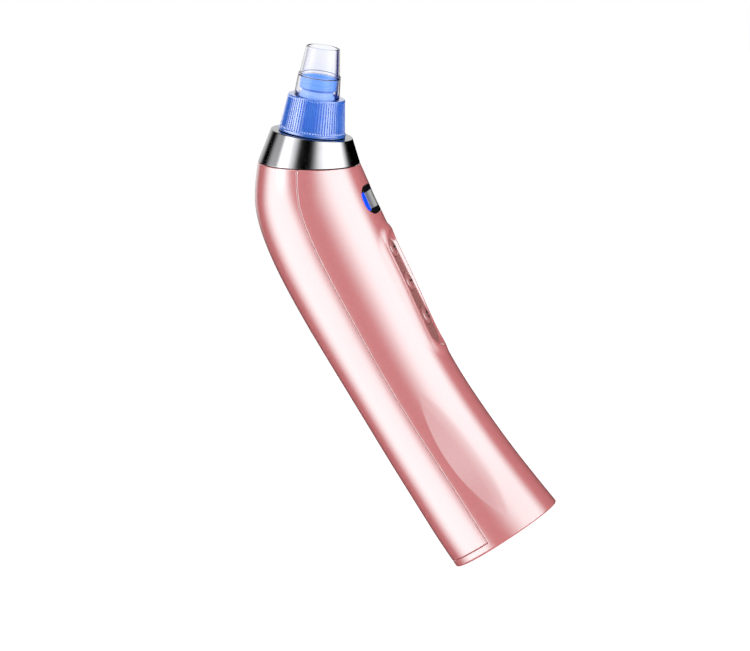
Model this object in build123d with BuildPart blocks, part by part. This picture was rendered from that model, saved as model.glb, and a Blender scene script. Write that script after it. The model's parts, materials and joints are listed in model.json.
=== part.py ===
from build123d import *
import os
from math import cos, radians, sin

# Handheld pore vacuum with a bent housing, a chrome collar and a pull-off suction probe.
# Row frame: +Z up, origin at the centre of the base face, +X is the front, where the
# display and the buttons are, and the XZ plane is the plane of symmetry. Millimetres.

os.makedirs("parts", exist_ok=True)

# ---- driving dimensions: housing -------------------------------------------------
# Round sections along the bent spine: centre x, centre z, lean to the front, radius.
STATIONS = (
    (0.0, 0.0, 0.0, 22.9),  # base rim
    (-0.7, 12.0, 0.0, 22.4),
    (-1.2, 28.0, 0.0, 21.6),  # above the flare of the base
    (-1.3, 46.0, 0.5, 21.0),
    (-0.9, 64.0, 2.5, 20.7),  # waist
    (0.4, 84.0, 4.5, 21.2),  # lower end of the button island
    (2.2, 102.0, 6.5, 22.2),
    (4.1, 120.0, 8.5, 22.8),  # upper end of the button island
    (6.6, 137.0, 14.5, 23.0),  # shoulder, under the display
    (10.2, 150.0, 25.0, 22.3),  # bend
    (16.2, 161.2, 35.4, 19.5),  # neck, where the collar sits
)
WALL = 2.0
RIM_HEIGHT = 3.0  # the rear cover stops this far above the base
SEAM_GAP = 0.12
GROOVE_HALF_WIDTH, GROOVE_DEPTH = 0.25, 0.35
SEAM_BASE_X = -1.5  # where the seam meets the base rim
SCOOP_Z, SCOOP_ANGLE, SCOOP_LEAN = 36.5, 20.0, 1.9  # the angle is in front of the seam
SCOOP_DEPTH, SCOOP_SURFACE_R = 0.85, 21.3
SPINDLE_R, SPINDLE_ARC_R, SPINDLE_HALF_LENGTH = 20.0, 460.0, 36.0

# ---- driving dimensions: nozzle, collar and probe --------------------------------
NOZZLE_X, NOZZLE_Z, NOZZLE_LEAN = 23.5, 169.8, 42.3
COLLAR_TOP_R = 15.7
COLLAR_INNER_TOP_R, COLLAR_INNER_LOW_R = 14.1, 17.9
COLLAR_PLATE = 1.5
COLLAR_HOLE_R = 10.0
SPIGOT_TUCK_R_IN, SPIGOT_TUCK_R_OUT, SPIGOT_TUCK = 15.9, 17.3, 4.0
FLANGE_R, FLANGE_THICK = 13.5, 2.0
SPIGOT_R, SPIGOT_TOP = 7.5, 11.5
SOCKET_R, SOCKET_OUT_R = 7.56, 8.8  # the probe's socket runs on the spigot
FILTER_R, FILTER_BOTTOM, FILTER_TOP = 5.4, 7.3, 11.2
O_RING_Z, O_RING_R, O_RING_CORD_R = 6.0, 6.85, 0.68
AIR_R = 1.7
BARB_R, BARB_END = 2.5, -14.0
HUB_R, HUB_END = 5.0, -6.0
SKIRT_BOTTOM_R, SKIRT_TOP_R = 12.7, 10.9
SKIRT_BOTTOM, SKIRT_TOP = 0.15, 14.4
SKIRT_WALL = 1.3
SKIRT_LIP = 1.2
FLUTES, FLUTE_DEPTH = 60, 0.35
STUB_R, STUB_BAND, STUB_TOP = 6.9, 17.6, 21.8
STUB_BAND_R, STUB_BORE_R = 7.1, 5.3
TIP_BASE_R, TIP_SHOULDER_R, TIP_NECK_R, TIP_MOUTH_R = 8.7, 8.1, 7.7, 6.4
TIP_SHOULDER, TIP_MOUTH = 22.9, 33.5
TIP_WALL, TIP_RIM_ROUND = 0.9, 0.4
TIP_STEP = 0.3
SCREW_R, SCREW_HEAD_R, SCREW_HEAD = 0.8, 1.5, 1.0
NOZZLE_SCREW_CIRCLE_R = 12.0

# ---- driving dimensions: button island and display -------------------------------
PANEL_X, PANEL_Z, PANEL_LEAN = 22.6, 98.7, 7.5  # the recess floor's centre
RECESS_LENGTH, RECESS_WIDTH = 44.5, 9.5
ISLAND_LENGTH, ISLAND_WIDTH = 50.5, 15.4
ISLAND_PROUD = 0.8
ISLAND_REACH = 4.0
ISLAND_BACK = -2.6
FLANK_SPREAD = 7.0
INLAY_THICK = 0.8
BUTTON_PITCH, BUTTON_MIDDLE = 14.4, 3.5
BUTTON_R, BUTTON_HOLE_R, BUTTON_PROUD = 3.6, 3.68, 1.0
BUTTON_FLANGE_R, BUTTON_FLANGE = 4.4, 0.8
BUTTON_STEM_END = -4.3
SWITCH_SIZE, SWITCH_TOP = 6.0, -5.0
PLUNGER_R = 1.7
PCB_FRONT, PCB_THICK, PCB_WIDTH = -8.2, 1.2, 17.0
PCB_LOW, PCB_HIGH = -28.0, 44.0
POST_PLACES, POST_R = (-20.5, 10.7), 2.0
DISPLAY_X, DISPLAY_Z, DISPLAY_LEAN = 29.75, 136.3, 9.5
DISPLAY_WIDTH, DISPLAY_HEIGHT, DISPLAY_CORNER = 17.0, 11.6, 5.2
DISPLAY_GAP = 0.08
DISPLAY_BACK = -3.4
GLASS_WIDTH, GLASS_HEIGHT, GLASS_BACK = 11.7, 6.6, -1.8
GUIDE_BACK, GUIDE_HEIGHT = -2.7, 6.8

# ---- driving dimensions: pump, battery and base ----------------------------------
PUMP_X, PUMP_Z, PUMP_LEAN = -6.0, 66.0, 4.6
MOTOR_R, MOTOR_WALL, MOTOR_LOW, MOTOR_TOP = 12.2, 0.9, 2.5, 30.0
DAMPER_R = 13.2
SHAFT_R, SHAFT_LOW, SHAFT_TOP = 1.0, -1.0, 36.0
HEAD_R, HEAD_BORE_R, HEAD_LOW, HEAD_FLOOR = 13.3, 10.2, 31.5, 33.5
SEAT_LOW, SHEET_LOW, PLATE_LOW, COVER_LOW, COVER_TOP = 45.0, 47.4, 48.6, 51.2, 55.2
NIPPLE_TOP, NIPPLE_R = 62.0, 2.5
CUP_CIRCLE_R, CUP_R, CUP_WALL, CUP_LOW = 6.3, 3.4, 0.6, 43.2
PUMP_SCREW_CIRCLE_R, PUMP_SCREW_R = 11.75, 0.9
RIB_PLACES, RIB_THICK = (10.0, 25.0), 1.6
RIB_CUT_BELOW, RIB_CUT_SIZE, RIB_CUT_HEIGHT = 4.0, 60.0, 28.0
STRAP_LOW, STRAP_TOP, STRAP_SCREW_Y, STRAP_EAR = 16.0, 23.5, 16.2, 1.8
HOSE_R, HOSE_BEND_R = 4.0, 38.0
HOSE_LOW, HOSE_END = 56.0, -6.2
BATTERY_X, BATTERY_R, BATTERY_LOW, BATTERY_TOP = -6.5, 7.0, 10.0, 57.5
CRADLE_BACK_X, CRADLE_SCREW_Z = -16.0, (6.8, 62.6)
BASE_PLATE_R, BASE_PLATE_LOW, BASE_PLATE_TOP = 20.6, 0.0, 2.0
BOSS_R, BOSS_CIRCLE_R, BOSS_ANGLE = 2.4, 18.6, 55.0
SOCKET_X, USB_WIDTH, USB_DEPTH, USB_LENGTH = 8.0, 7.6, 2.9, 5.8
BOARD_WIDTH, BOARD_THICK, BOARD_LOW, BOARD_TOP = 14.0, 1.0, 3.0, 18.8
LEAD_R = 0.6
FIT = 0.05  # radial clearance of a fit
SCREW_FIT = 0.02


def leaning(x, z, lean, along=0.0):
    """Plane square to a line that leans `lean` degrees to the front, `along` it from (x, z)."""
    a = radians(lean)
    origin = (x + along * sin(a), 0, z + along * cos(a))
    return Plane(origin=origin, x_dir=(cos(a), 0, -sin(a)), z_dir=(sin(a), 0, cos(a)))


def facing(x, z, lean, out=0.0):
    """Plane on the front of the housing: local x across it, local y up it, z outward."""
    a = radians(lean)
    origin = (x + out * cos(a), 0, z - out * sin(a))
    return Plane(origin=origin, x_dir=(0, 1, 0), z_dir=(cos(a), 0, -sin(a)))


def nozzle(along=0.0):
    return leaning(NOZZLE_X, NOZZLE_Z, NOZZLE_LEAN, along)


def pump(along=0.0):
    return leaning(PUMP_X, PUMP_Z, PUMP_LEAN, along)


def panel(out=0.0):
    return facing(PANEL_X, PANEL_Z, PANEL_LEAN, out)


def display(out=0.0):
    return facing(DISPLAY_X, DISPLAY_Z, DISPLAY_LEAN, out)


def backward(plane, x_local=0.0, y_local=0.0):
    """Plane at a local point of `plane` whose normal runs along its negative x."""
    origin = plane.origin + plane.x_dir * x_local + plane.y_dir * y_local
    return Plane(origin=origin, x_dir=plane.y_dir, z_dir=-plane.x_dir)


def save(part, name):
    part.label = name
    export_step(part, f"parts/{name}.step")


def bar(plane, radius, length):
    """A round bar that starts on the plane and runs along its normal."""
    with BuildPart(plane) as solid:
        Cylinder(radius, length, align=(Align.CENTER, Align.CENTER, Align.MIN))
    return solid.part


def ring(plane, radius, bore, length):
    with BuildPart(plane) as solid:
        with BuildSketch(plane):
            Circle(radius)
            Circle(bore, mode=Mode.SUBTRACT)
        extrude(amount=length)
    return solid.part


def block(plane, x_size, y_size, z_size):
    """A box centred on the plane's origin that rises along its normal."""
    with BuildPart(plane) as solid:
        Box(x_size, y_size, z_size, align=(Align.CENTER, Align.CENTER, Align.MIN))
    return solid.part


def screw(plane, length, radius=SCREW_R):
    """A screw whose head stands on the plane and whose shank runs back below it."""
    with BuildPart(plane) as solid:
        Cylinder(radius, length, align=(Align.CENTER, Align.CENTER, Align.MAX))
        Cylinder(SCREW_HEAD_R, SCREW_HEAD, align=(Align.CENTER, Align.CENTER, Align.MIN))
        with BuildSketch(plane.offset(SCREW_HEAD)):
            Rectangle(1.6, 0.4)
            Rectangle(0.4, 1.6)
        extrude(amount=-0.5, mode=Mode.SUBTRACT)
    return solid.part


def turned(plane, points):
    """A solid turned about the plane's normal from (radius, height) points."""
    section = Plane(origin=plane.origin, x_dir=plane.x_dir, z_dir=-plane.y_dir)
    with BuildPart() as solid:
        with BuildSketch(section):
            with BuildLine():
                Polyline(*points, close=True)
            make_face()
        revolve(axis=Axis(plane.origin, plane.z_dir))
    return solid.part


def lead(points, bend):
    """A wire along a bent path."""
    with BuildPart() as wire:
        with BuildLine() as path:
            FilletPolyline(*points, radius=bend)
        with BuildSketch(Plane(origin=path.line @ 0, z_dir=path.line % 0)):
            Circle(LEAD_R)
        sweep()
    return wire.part


def spine_at(z):
    """Centre x and radius of the housing at a height, between its stations."""
    for (x0, z0, _, r0), (x1, z1, _, r1) in zip(STATIONS, STATIONS[1:]):
        if z0 <= z <= z1:
            part_way = (z - z0) / (z1 - z0)
            return x0 + (x1 - x0) * part_way, r0 + (r1 - r0) * part_way
    raise ValueError(z)


# ---- housing forms ---------------------------------------------------------------
def housing_form(inset):
    """The closed form of the housing, its sections drawn in by `inset`."""
    with BuildPart() as form:
        for x, z, lean, radius in STATIONS:
            with BuildSketch(leaning(x, z, lean)):
                Circle(radius - inset)
        loft()
    return form.part


def rear_zone(grow):
    """Everything behind the seam and above the rim, its front edge moved out by `grow`."""
    neck_x, neck_z, neck_lean, _ = STATIONS[-1]
    beyond, far_back, far_up = 12.0, -60.0, 200.0
    lean = radians(neck_lean)
    end = (neck_x + beyond * sin(lean), neck_z + beyond * cos(lean))
    low = RIM_HEIGHT - grow
    seam = [(SEAM_BASE_X, low)] + [(x, z) for x, z, _, _ in STATIONS[2:]] + [end]
    seam = [(x + grow, z) for x, z in seam]
    with BuildPart() as zone:
        with BuildSketch(Plane.XZ):
            with BuildLine():
                edge = Spline(*seam, tangents=[(0, 1), (sin(lean), cos(lean))])
                Polyline(edge @ 1, (far_back, far_up), (far_back, low), edge @ 0)
            make_face()
        extrude(amount=40, both=True)
    return zone.part


def slot_loft(low, low_size, high, high_size):
    """A solid between two round-ended outlines, each given as (length, width)."""
    with BuildPart() as solid:
        for plane, (length, width) in ((low, low_size), (high, high_size)):
            with BuildSketch(plane):
                SlotOverall(length, width, rotation=90)
        loft(ruled=True)
    return solid.part


def scoop(side):
    """A slim spindle that leaves a lens-shaped finger hollow on one flank."""
    axis_r = SCOOP_SURFACE_R - SCOOP_DEPTH + SPINDLE_R
    angle, lean = radians(90 - SCOOP_ANGLE), radians(SCOOP_LEAN)
    outward = Vector(cos(angle), side * sin(angle), 0)
    centre = Vector(STATIONS[2][0], 0, SCOOP_Z) + outward * axis_r
    along = Vector(0, 0, 1) * cos(lean) - outward * sin(lean)
    radial = outward * cos(lean) + Vector(0, 0, 1) * sin(lean)
    section = Plane(origin=centre, x_dir=radial, z_dir=radial.cross(along))
    end_r = SPINDLE_R - SPINDLE_HALF_LENGTH**2 / (2 * SPINDLE_ARC_R)
    low, high = (end_r, -SPINDLE_HALF_LENGTH), (end_r, SPINDLE_HALF_LENGTH)
    with BuildPart() as spindle:
        with BuildSketch(section):
            with BuildLine():
                ThreePointArc(low, (SPINDLE_R, 0), high)
                Polyline(high, (0, high[1]), (0, low[1]), low)
            make_face()
        revolve(axis=Axis(centre, along))
    return spindle.part


def oval(out_low, out_high, gap=0.0):
    """A prism with the outline of the display window."""
    with BuildPart() as prism:
        with BuildSketch(display(out_low)):
            RectangleRounded(
                DISPLAY_WIDTH - 2 * gap, DISPLAY_HEIGHT - 2 * gap, DISPLAY_CORNER - gap
            )
        extrude(amount=out_high - out_low)
    return prism.part


outer_form = housing_form(0)
inner_form = housing_form(WALL)
rib_form = housing_form(WALL / 2)
proud_form = housing_form(-ISLAND_PROUD)
groove = rear_zone(GROOVE_HALF_WIDTH) - rear_zone(-GROOVE_HALF_WIDTH) - housing_form(GROOVE_DEPTH)

# Raised island round the buttons: it follows the housing, with sloping flanks outside
# and a recess with sloping walls inside.
rim_size = (ISLAND_LENGTH, ISLAND_WIDTH)
flank_size = (ISLAND_LENGTH + FLANK_SPREAD, ISLAND_WIDTH + FLANK_SPREAD)
recess_size = (RECESS_LENGTH, RECESS_WIDTH)
island = slot_loft(panel(ISLAND_BACK), flank_size, panel(ISLAND_REACH), rim_size) & proud_form
island_back = slot_loft(panel(ISLAND_BACK), rim_size, panel(0), rim_size)
recess = slot_loft(panel(0), recess_size, panel(ISLAND_REACH), (52.5, 17.0))
recess_pocket = slot_loft(panel(-INLAY_THICK), recess_size, panel(FIT), recess_size)
button_places = {
    "level_up": BUTTON_MIDDLE + BUTTON_PITCH,
    "level_down": BUTTON_MIDDLE,
    "power": BUTTON_MIDDLE - BUTTON_PITCH,
}
button_centres = [(0, y) for y in button_places.values()]
post_centres = [(0, y) for y in POST_PLACES]
boss_centres = [
    (BOSS_CIRCLE_R * cos(radians(a)), BOSS_CIRCLE_R * sin(radians(a)))
    for a in (-BOSS_ANGLE, BOSS_ANGLE)
]

# ---- front housing: front half, base ring, island, posts, rails and bosses --------
with BuildPart() as front_ribs:
    with Locations(*[(x, y, BASE_PLATE_TOP + FIT) for x, y in boss_centres]):
        Cylinder(BOSS_R, 8, align=(Align.CENTER, Align.CENTER, Align.MIN))
    rail_y = BOARD_WIDTH / 2 + 0.85
    with Locations(*[(15.2, side * rail_y, BASE_PLATE_TOP + FIT) for side in (-1, 1)]):
        Box(12, 1.5, 13.5, align=(Align.CENTER, Align.CENTER, Align.MIN))
    add(rib_form, mode=Mode.INTERSECT)

with BuildPart() as front_housing:
    add([outer_form, island])
    add(inner_form, mode=Mode.SUBTRACT)
    add(island_back)
    add(rear_zone(SEAM_GAP / 2), mode=Mode.SUBTRACT)
    add(front_ribs.part)
    with BuildSketch(panel(PCB_FRONT)):
        with Locations(*post_centres):
            Circle(POST_R)
    extrude(amount=ISLAND_BACK - PCB_FRONT)
    add([recess, recess_pocket, groove, scoop(-1), scoop(1)], mode=Mode.SUBTRACT)
    add(oval(-8, 4), mode=Mode.SUBTRACT)
    with BuildSketch(panel(ISLAND_BACK)):
        with Locations(*button_centres):
            Circle(BUTTON_HOLE_R)
    extrude(amount=-ISLAND_BACK, mode=Mode.SUBTRACT)
    with BuildSketch(panel(PCB_FRONT)):
        with Locations(*post_centres):
            Circle(SCREW_R + SCREW_FIT)
    extrude(amount=5.0, mode=Mode.SUBTRACT)
    with Locations(*[(x, y, BASE_PLATE_TOP) for x, y in boss_centres]):
        Cylinder(
            SCREW_R + SCREW_FIT,
            6.2,
            align=(Align.CENTER, Align.CENTER, Align.MIN),
            mode=Mode.SUBTRACT,
        )

# ---- rear cover: rear half, pump ribs, strap bosses, cradle bosses and tongues -----
strap_middle = (STRAP_LOW + STRAP_TOP) / 2
strap_planes = [backward(pump(strap_middle), 0, side * STRAP_SCREW_Y) for side in (-1, 1)]
cradle_planes = [
    Plane(origin=(CRADLE_BACK_X, 0, z), x_dir=(0, 1, 0), z_dir=(-1, 0, 0))
    for z in CRADLE_SCREW_Z
]
rib_discs = [bar(pump(place), 24, RIB_THICK) for place in RIB_PLACES]
rib_cut_disc = bar(pump(RIB_PLACES[0] - 1), DAMPER_R + FIT, 20)
cut_floor = pump(RIB_PLACES[0] - RIB_CUT_BELOW)
cut_middle = cut_floor.origin + cut_floor.x_dir * RIB_CUT_SIZE / 2
cut_plane = Plane(origin=cut_middle, x_dir=cut_floor.x_dir, z_dir=cut_floor.z_dir)
rib_front_cut = block(cut_plane, RIB_CUT_SIZE, RIB_CUT_SIZE, RIB_CUT_HEIGHT)
bosses = [bar(plane, 2.0, 14) for plane in strap_planes]
bosses += [bar(plane, 2.2, 6) for plane in cradle_planes]
boss_holes = [bar(plane, SCREW_R + SCREW_FIT, 6) for plane in strap_planes]
boss_holes += [bar(plane, SCREW_R + SCREW_FIT, 4) for plane in cradle_planes]

with BuildPart() as rear_ribs:
    add(rib_discs)
    add([rib_cut_disc, rib_front_cut], mode=Mode.SUBTRACT)
    add(bosses)
    add(rib_form, mode=Mode.INTERSECT)

TONGUE_PLACES, TONGUE_LENGTH = (18.0, 48.0, 76.0, 106.0, 130.0), 6.0
with BuildPart() as tongues:
    for z in TONGUE_PLACES:
        centre_x, radius = spine_at(z)
        for side in (-1, 1):
            with Locations((centre_x - 0.8, side * (radius - WALL - 0.9), z)):
                Box(5.2, 1.1, TONGUE_LENGTH)
            with Locations((centre_x - 2.2, side * (radius - WALL - 0.4), z)):
                Box(2.4, 2.1, TONGUE_LENGTH)

with BuildPart() as rear_cover:
    add(outer_form)
    add(inner_form, mode=Mode.SUBTRACT)
    add(rear_zone(-SEAM_GAP / 2), mode=Mode.INTERSECT)
    add([rear_ribs.part, tongues.part])
    add([groove, *boss_holes], mode=Mode.SUBTRACT)

# ---- base plate, with the charging slot, air vents and screw holes ----------------
vent_centres = [(-12, 0), (-9, 6), (-9, -6), (-9, 0), (-6, 3), (-6, -3), (-3, 0)]
with BuildPart() as base_plate:
    with Locations((0, 0, BASE_PLATE_LOW)):
        Cylinder(
            BASE_PLATE_R,
            BASE_PLATE_TOP - BASE_PLATE_LOW,
            align=(Align.CENTER, Align.CENTER, Align.MIN),
        )
    with BuildSketch():
        with Locations((SOCKET_X, 0)):
            RectangleRounded(USB_DEPTH + 0.3, USB_WIDTH + 0.3, 1.0)
        with Locations(*vent_centres):
            Circle(0.9)
        with Locations(*boss_centres):
            Circle(SCREW_R + 0.1)
    extrude(amount=BASE_PLATE_TOP, mode=Mode.SUBTRACT)
    with BuildSketch():
        with Locations(*boss_centres):
            Circle(SCREW_HEAD_R + 0.1)
    extrude(amount=BASE_PLATE_LOW + SCREW_HEAD + 0.1, mode=Mode.SUBTRACT)

# ---- screws of the case: base plate, battery cradle, pump strap and main board -----
strap_ear = 1.5
case_screw_list = []
for x, y in boss_centres:
    under = Plane(
        origin=(x, y, BASE_PLATE_LOW + SCREW_HEAD + 0.1), x_dir=(1, 0, 0), z_dir=(0, 0, -1)
    )
    case_screw_list.append(screw(under, 6.0))
for plane in strap_planes:
    ear_face = Plane(origin=plane.origin - plane.z_dir * strap_ear, x_dir=plane.x_dir,
                     z_dir=-plane.z_dir)
    case_screw_list.append(screw(ear_face, 6.5))
for plane in cradle_planes:
    plate_face = Plane(origin=plane.origin - plane.z_dir * strap_ear, x_dir=plane.x_dir,
                       z_dir=-plane.z_dir)
    case_screw_list.append(screw(plate_face, 5.0))
pcb_back = PCB_FRONT - PCB_THICK
for y in POST_PLACES:
    seat = panel(pcb_back).origin + panel().y_dir * y
    behind = Plane(origin=seat, x_dir=(0, 1, 0), z_dir=-panel().z_dir)
    case_screw_list.append(screw(behind, 5.5))
with BuildPart() as case_screws:
    add(case_screw_list)

# ---- collar and nozzle ------------------------------------------------------------
neck = leaning(*STATIONS[-1][:3])
with BuildPart() as collar_outer:
    with BuildSketch(neck.offset(0.12)):
        Circle(STATIONS[-1][3])
    with BuildSketch(nozzle()):
        Circle(COLLAR_TOP_R)
    loft()
with BuildPart() as collar_inner:
    with BuildSketch(neck.offset(0.1)):
        Circle(COLLAR_INNER_LOW_R)
    with BuildSketch(nozzle(-COLLAR_PLATE)):
        Circle(COLLAR_INNER_TOP_R)
    loft()
collar_tuck = ring(neck.offset(-SPIGOT_TUCK), SPIGOT_TUCK_R_OUT, SPIGOT_TUCK_R_IN, SPIGOT_TUCK + 2.0)
nozzle_screw_points = [
    (NOZZLE_SCREW_CIRCLE_R * cos(radians(a)), NOZZLE_SCREW_CIRCLE_R * sin(radians(a)))
    for a in (60, 180, 300)
]
with BuildPart() as chrome_collar:
    add(collar_outer.part)
    add(collar_inner.part, mode=Mode.SUBTRACT)
    add(collar_tuck)
    with BuildSketch(nozzle(-COLLAR_PLATE)):
        Circle(COLLAR_HOLE_R)
    extrude(amount=COLLAR_PLATE, mode=Mode.SUBTRACT)
    with BuildSketch(nozzle(-COLLAR_PLATE)):
        with Locations(*nozzle_screw_points):
            Circle(SCREW_R + SCREW_FIT)
    extrude(amount=COLLAR_PLATE - 0.4, mode=Mode.SUBTRACT)

flange_top = -COLLAR_PLATE - FIT
flange_low = flange_top - FLANGE_THICK
groove_r = O_RING_R - O_RING_CORD_R - 0.01
groove_low, groove_high = O_RING_Z - 0.78, O_RING_Z + 0.78
port_profile = [
    (AIR_R, BARB_END),
    (BARB_R, BARB_END),
    (BARB_R, HUB_END),
    (HUB_R, HUB_END),
    (HUB_R, flange_low),
    (FLANGE_R, flange_low),
    (FLANGE_R, flange_top),
    (SPIGOT_R, flange_top),
    (SPIGOT_R, groove_low),
    (groove_r, groove_low),
    (groove_r, groove_high),
    (SPIGOT_R, groove_high),
    (SPIGOT_R, SPIGOT_TOP - 0.6),
    (SPIGOT_R - 0.6, SPIGOT_TOP),
    (FILTER_R, SPIGOT_TOP),
    (FILTER_R, FILTER_BOTTOM),
    (AIR_R, FILTER_BOTTOM),
]
nozzle_port_body = turned(nozzle(), port_profile)
with BuildPart() as nozzle_port:
    add(nozzle_port_body)
    with BuildSketch(nozzle(flange_low)):
        with Locations(*nozzle_screw_points):
            Circle(SCREW_R + 0.1)
    extrude(amount=FLANGE_THICK, mode=Mode.SUBTRACT)

with BuildPart(nozzle(O_RING_Z)) as nozzle_o_ring:
    Torus(O_RING_R, O_RING_CORD_R)

filter_sponge = bar(nozzle(FILTER_BOTTOM + 0.02), FILTER_R - 0.02, FILTER_TOP - FILTER_BOTTOM)

nozzle_screw_list = []
for x, y in nozzle_screw_points:
    seat = nozzle(flange_low - 0.02)
    seat = Plane(
        origin=seat.origin + seat.x_dir * x + seat.y_dir * y, x_dir=seat.x_dir, z_dir=-seat.z_dir
    )
    nozzle_screw_list.append(screw(seat, FLANGE_THICK + 0.9))
with BuildPart() as nozzle_screws:
    add(nozzle_screw_list)

# ---- probe: fluted skirt, socket, stub and the clear tip ---------------------------
def fluted_outline(radius):
    """A ring of V-shaped flutes whose crests lie on the radius."""
    step = 180 / FLUTES
    return [
        (r * cos(radians(i * step)), r * sin(radians(i * step)))
        for i in range(2 * FLUTES)
        for r in [radius - (i % 2) * FLUTE_DEPTH]
    ]


lip_top = SKIRT_BOTTOM + SKIRT_LIP
web_low = SKIRT_TOP - 1.5
with BuildPart() as fluted_skirt:
    for height, radius in ((lip_top, SKIRT_BOTTOM_R), (SKIRT_TOP - 0.4, SKIRT_TOP_R)):
        with BuildSketch(nozzle(height)):
            with BuildLine():
                Polyline(*fluted_outline(radius), close=True)
            make_face()
    loft(ruled=True)
probe_lip = turned(
    nozzle(),
    [
        (0, SKIRT_BOTTOM),
        (SKIRT_BOTTOM_R - 0.2, SKIRT_BOTTOM),
        (SKIRT_BOTTOM_R + 0.1, SKIRT_BOTTOM + 0.3),
        (SKIRT_BOTTOM_R + 0.1, lip_top - 0.2),
        (SKIRT_BOTTOM_R - 0.1, lip_top),
        (0, lip_top),
    ],
)
probe_top = turned(
    nozzle(),
    [
        (0, SKIRT_TOP - 0.4),
        (SKIRT_TOP_R - FLUTE_DEPTH, SKIRT_TOP - 0.4),
        (SKIRT_TOP_R - FLUTE_DEPTH - 0.4, SKIRT_TOP),
        (STUB_R, SKIRT_TOP),
        (STUB_R, STUB_BAND),
        (STUB_BAND_R, STUB_BAND),
        (STUB_BAND_R, STUB_TOP),
        (0, STUB_TOP),
    ],
)
socket_cut = turned(
    nozzle(),
    [
        (0, SKIRT_BOTTOM - 1),
        (SOCKET_R, SKIRT_BOTTOM - 1),
        (SOCKET_R, SPIGOT_TOP + 0.6),
        (STUB_BORE_R, web_low),
        (STUB_BORE_R, STUB_TOP + 1),
        (0, STUB_TOP + 1),
    ],
)
hollow_cut = turned(
    nozzle(),
    [
        (SOCKET_OUT_R, SKIRT_BOTTOM - 1),
        (SKIRT_BOTTOM_R - SKIRT_WALL, SKIRT_BOTTOM - 1),
        (SKIRT_TOP_R - SKIRT_WALL, web_low),
        (SOCKET_OUT_R, web_low),
    ],
)
with BuildPart() as probe_base:
    add([fluted_skirt.part, probe_lip, probe_top])
    add([socket_cut, hollow_cut], mode=Mode.SUBTRACT)

tip_base = SKIRT_TOP + 0.03
tip_section = Plane(origin=nozzle().origin, x_dir=nozzle().x_dir, z_dir=-nozzle().y_dir)
with BuildPart() as suction_tip:
    with BuildSketch(tip_section):
        with BuildLine():
            Polyline(
                (STUB_BAND_R + FIT, tip_base),
                (TIP_BASE_R, tip_base),
                (TIP_SHOULDER_R, TIP_SHOULDER),
                (TIP_NECK_R, TIP_SHOULDER + TIP_STEP),
                (TIP_MOUTH_R, TIP_MOUTH),
                (TIP_MOUTH_R - TIP_WALL, TIP_MOUTH),
                (TIP_NECK_R - TIP_WALL - 0.1, STUB_TOP + 0.3),
                (STUB_BAND_R + FIT, STUB_TOP + 0.1),
                close=True,
            )
        make_face()
    revolve(axis=Axis(nozzle().origin, nozzle().z_dir))
    rim_edges = suction_tip.faces().sort_by(Axis(nozzle().origin, nozzle().z_dir))[-1].edges()
    fillet(rim_edges, TIP_RIM_ROUND)

# ---- display: bezel, glass, light guides, module and holder ------------------------
flush_form = housing_form(0.12)
with BuildPart() as glass_prism:
    with BuildSketch(display(GLASS_BACK)):
        RectangleRounded(GLASS_WIDTH, GLASS_HEIGHT, 0.8)
    extrude(amount=6)
with BuildPart() as guide_prism:
    with BuildSketch(display(GUIDE_BACK)):
        RectangleRounded(DISPLAY_WIDTH + 2, GUIDE_HEIGHT, 0.6)
        Rectangle(GLASS_WIDTH + 0.5, GUIDE_HEIGHT + 1, mode=Mode.SUBTRACT)
    extrude(amount=7)
window = oval(DISPLAY_BACK, 4, DISPLAY_GAP) & flush_form
guide_gap = 0.03
with BuildPart() as display_bezel:
    add(window)
    add([glass_prism.part, guide_prism.part], mode=Mode.SUBTRACT)
    with BuildSketch(display(DISPLAY_BACK)):
        Rectangle(GLASS_WIDTH - 1.2, GLASS_HEIGHT - 1.2)
    extrude(amount=GLASS_BACK - DISPLAY_BACK, mode=Mode.SUBTRACT)
with BuildPart() as display_glass:
    with BuildSketch(display(GLASS_BACK + guide_gap)):
        RectangleRounded(GLASS_WIDTH - 2 * guide_gap, GLASS_HEIGHT - 2 * guide_gap, 0.77)
    extrude(amount=6)
    add(window, mode=Mode.INTERSECT)
with BuildPart() as display_light_guides:
    with BuildSketch(display(GUIDE_BACK + guide_gap)):
        RectangleRounded(DISPLAY_WIDTH + 2, GUIDE_HEIGHT - 2 * guide_gap, 0.57)
        Rectangle(GLASS_WIDTH + 0.5 + 2 * guide_gap, GUIDE_HEIGHT + 1, mode=Mode.SUBTRACT)
    extrude(amount=7)
    add(window, mode=Mode.INTERSECT)
with BuildPart() as lcd_module:
    with BuildSketch(display(DISPLAY_BACK - FIT)):
        Rectangle(GLASS_WIDTH - 1.3, GLASS_HEIGHT - 1.3)
    extrude(amount=GLASS_BACK - DISPLAY_BACK)
    with BuildSketch(display(DISPLAY_BACK - FIT)):
        Rectangle(13.5, 8.6)
    extrude(amount=-1.7)
holder_top = DISPLAY_BACK - FIT - 1.7 - FIT
with BuildPart() as display_holder:
    with BuildSketch(display(holder_top)):
        Rectangle(12.4, 8.0)
        Rectangle(9.4, 5.0, mode=Mode.SUBTRACT)
    extrude(amount=-3.9)

# ---- button panel, buttons and switches -------------------------------------------
with BuildPart() as button_panel:
    with BuildSketch(panel(-INLAY_THICK + 0.01)):
        SlotOverall(RECESS_LENGTH - 0.06, RECESS_WIDTH - 0.06, rotation=90)
        with Locations(*button_centres):
            Circle(BUTTON_HOLE_R, mode=Mode.SUBTRACT)
    extrude(amount=INLAY_THICK - 0.01)

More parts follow.
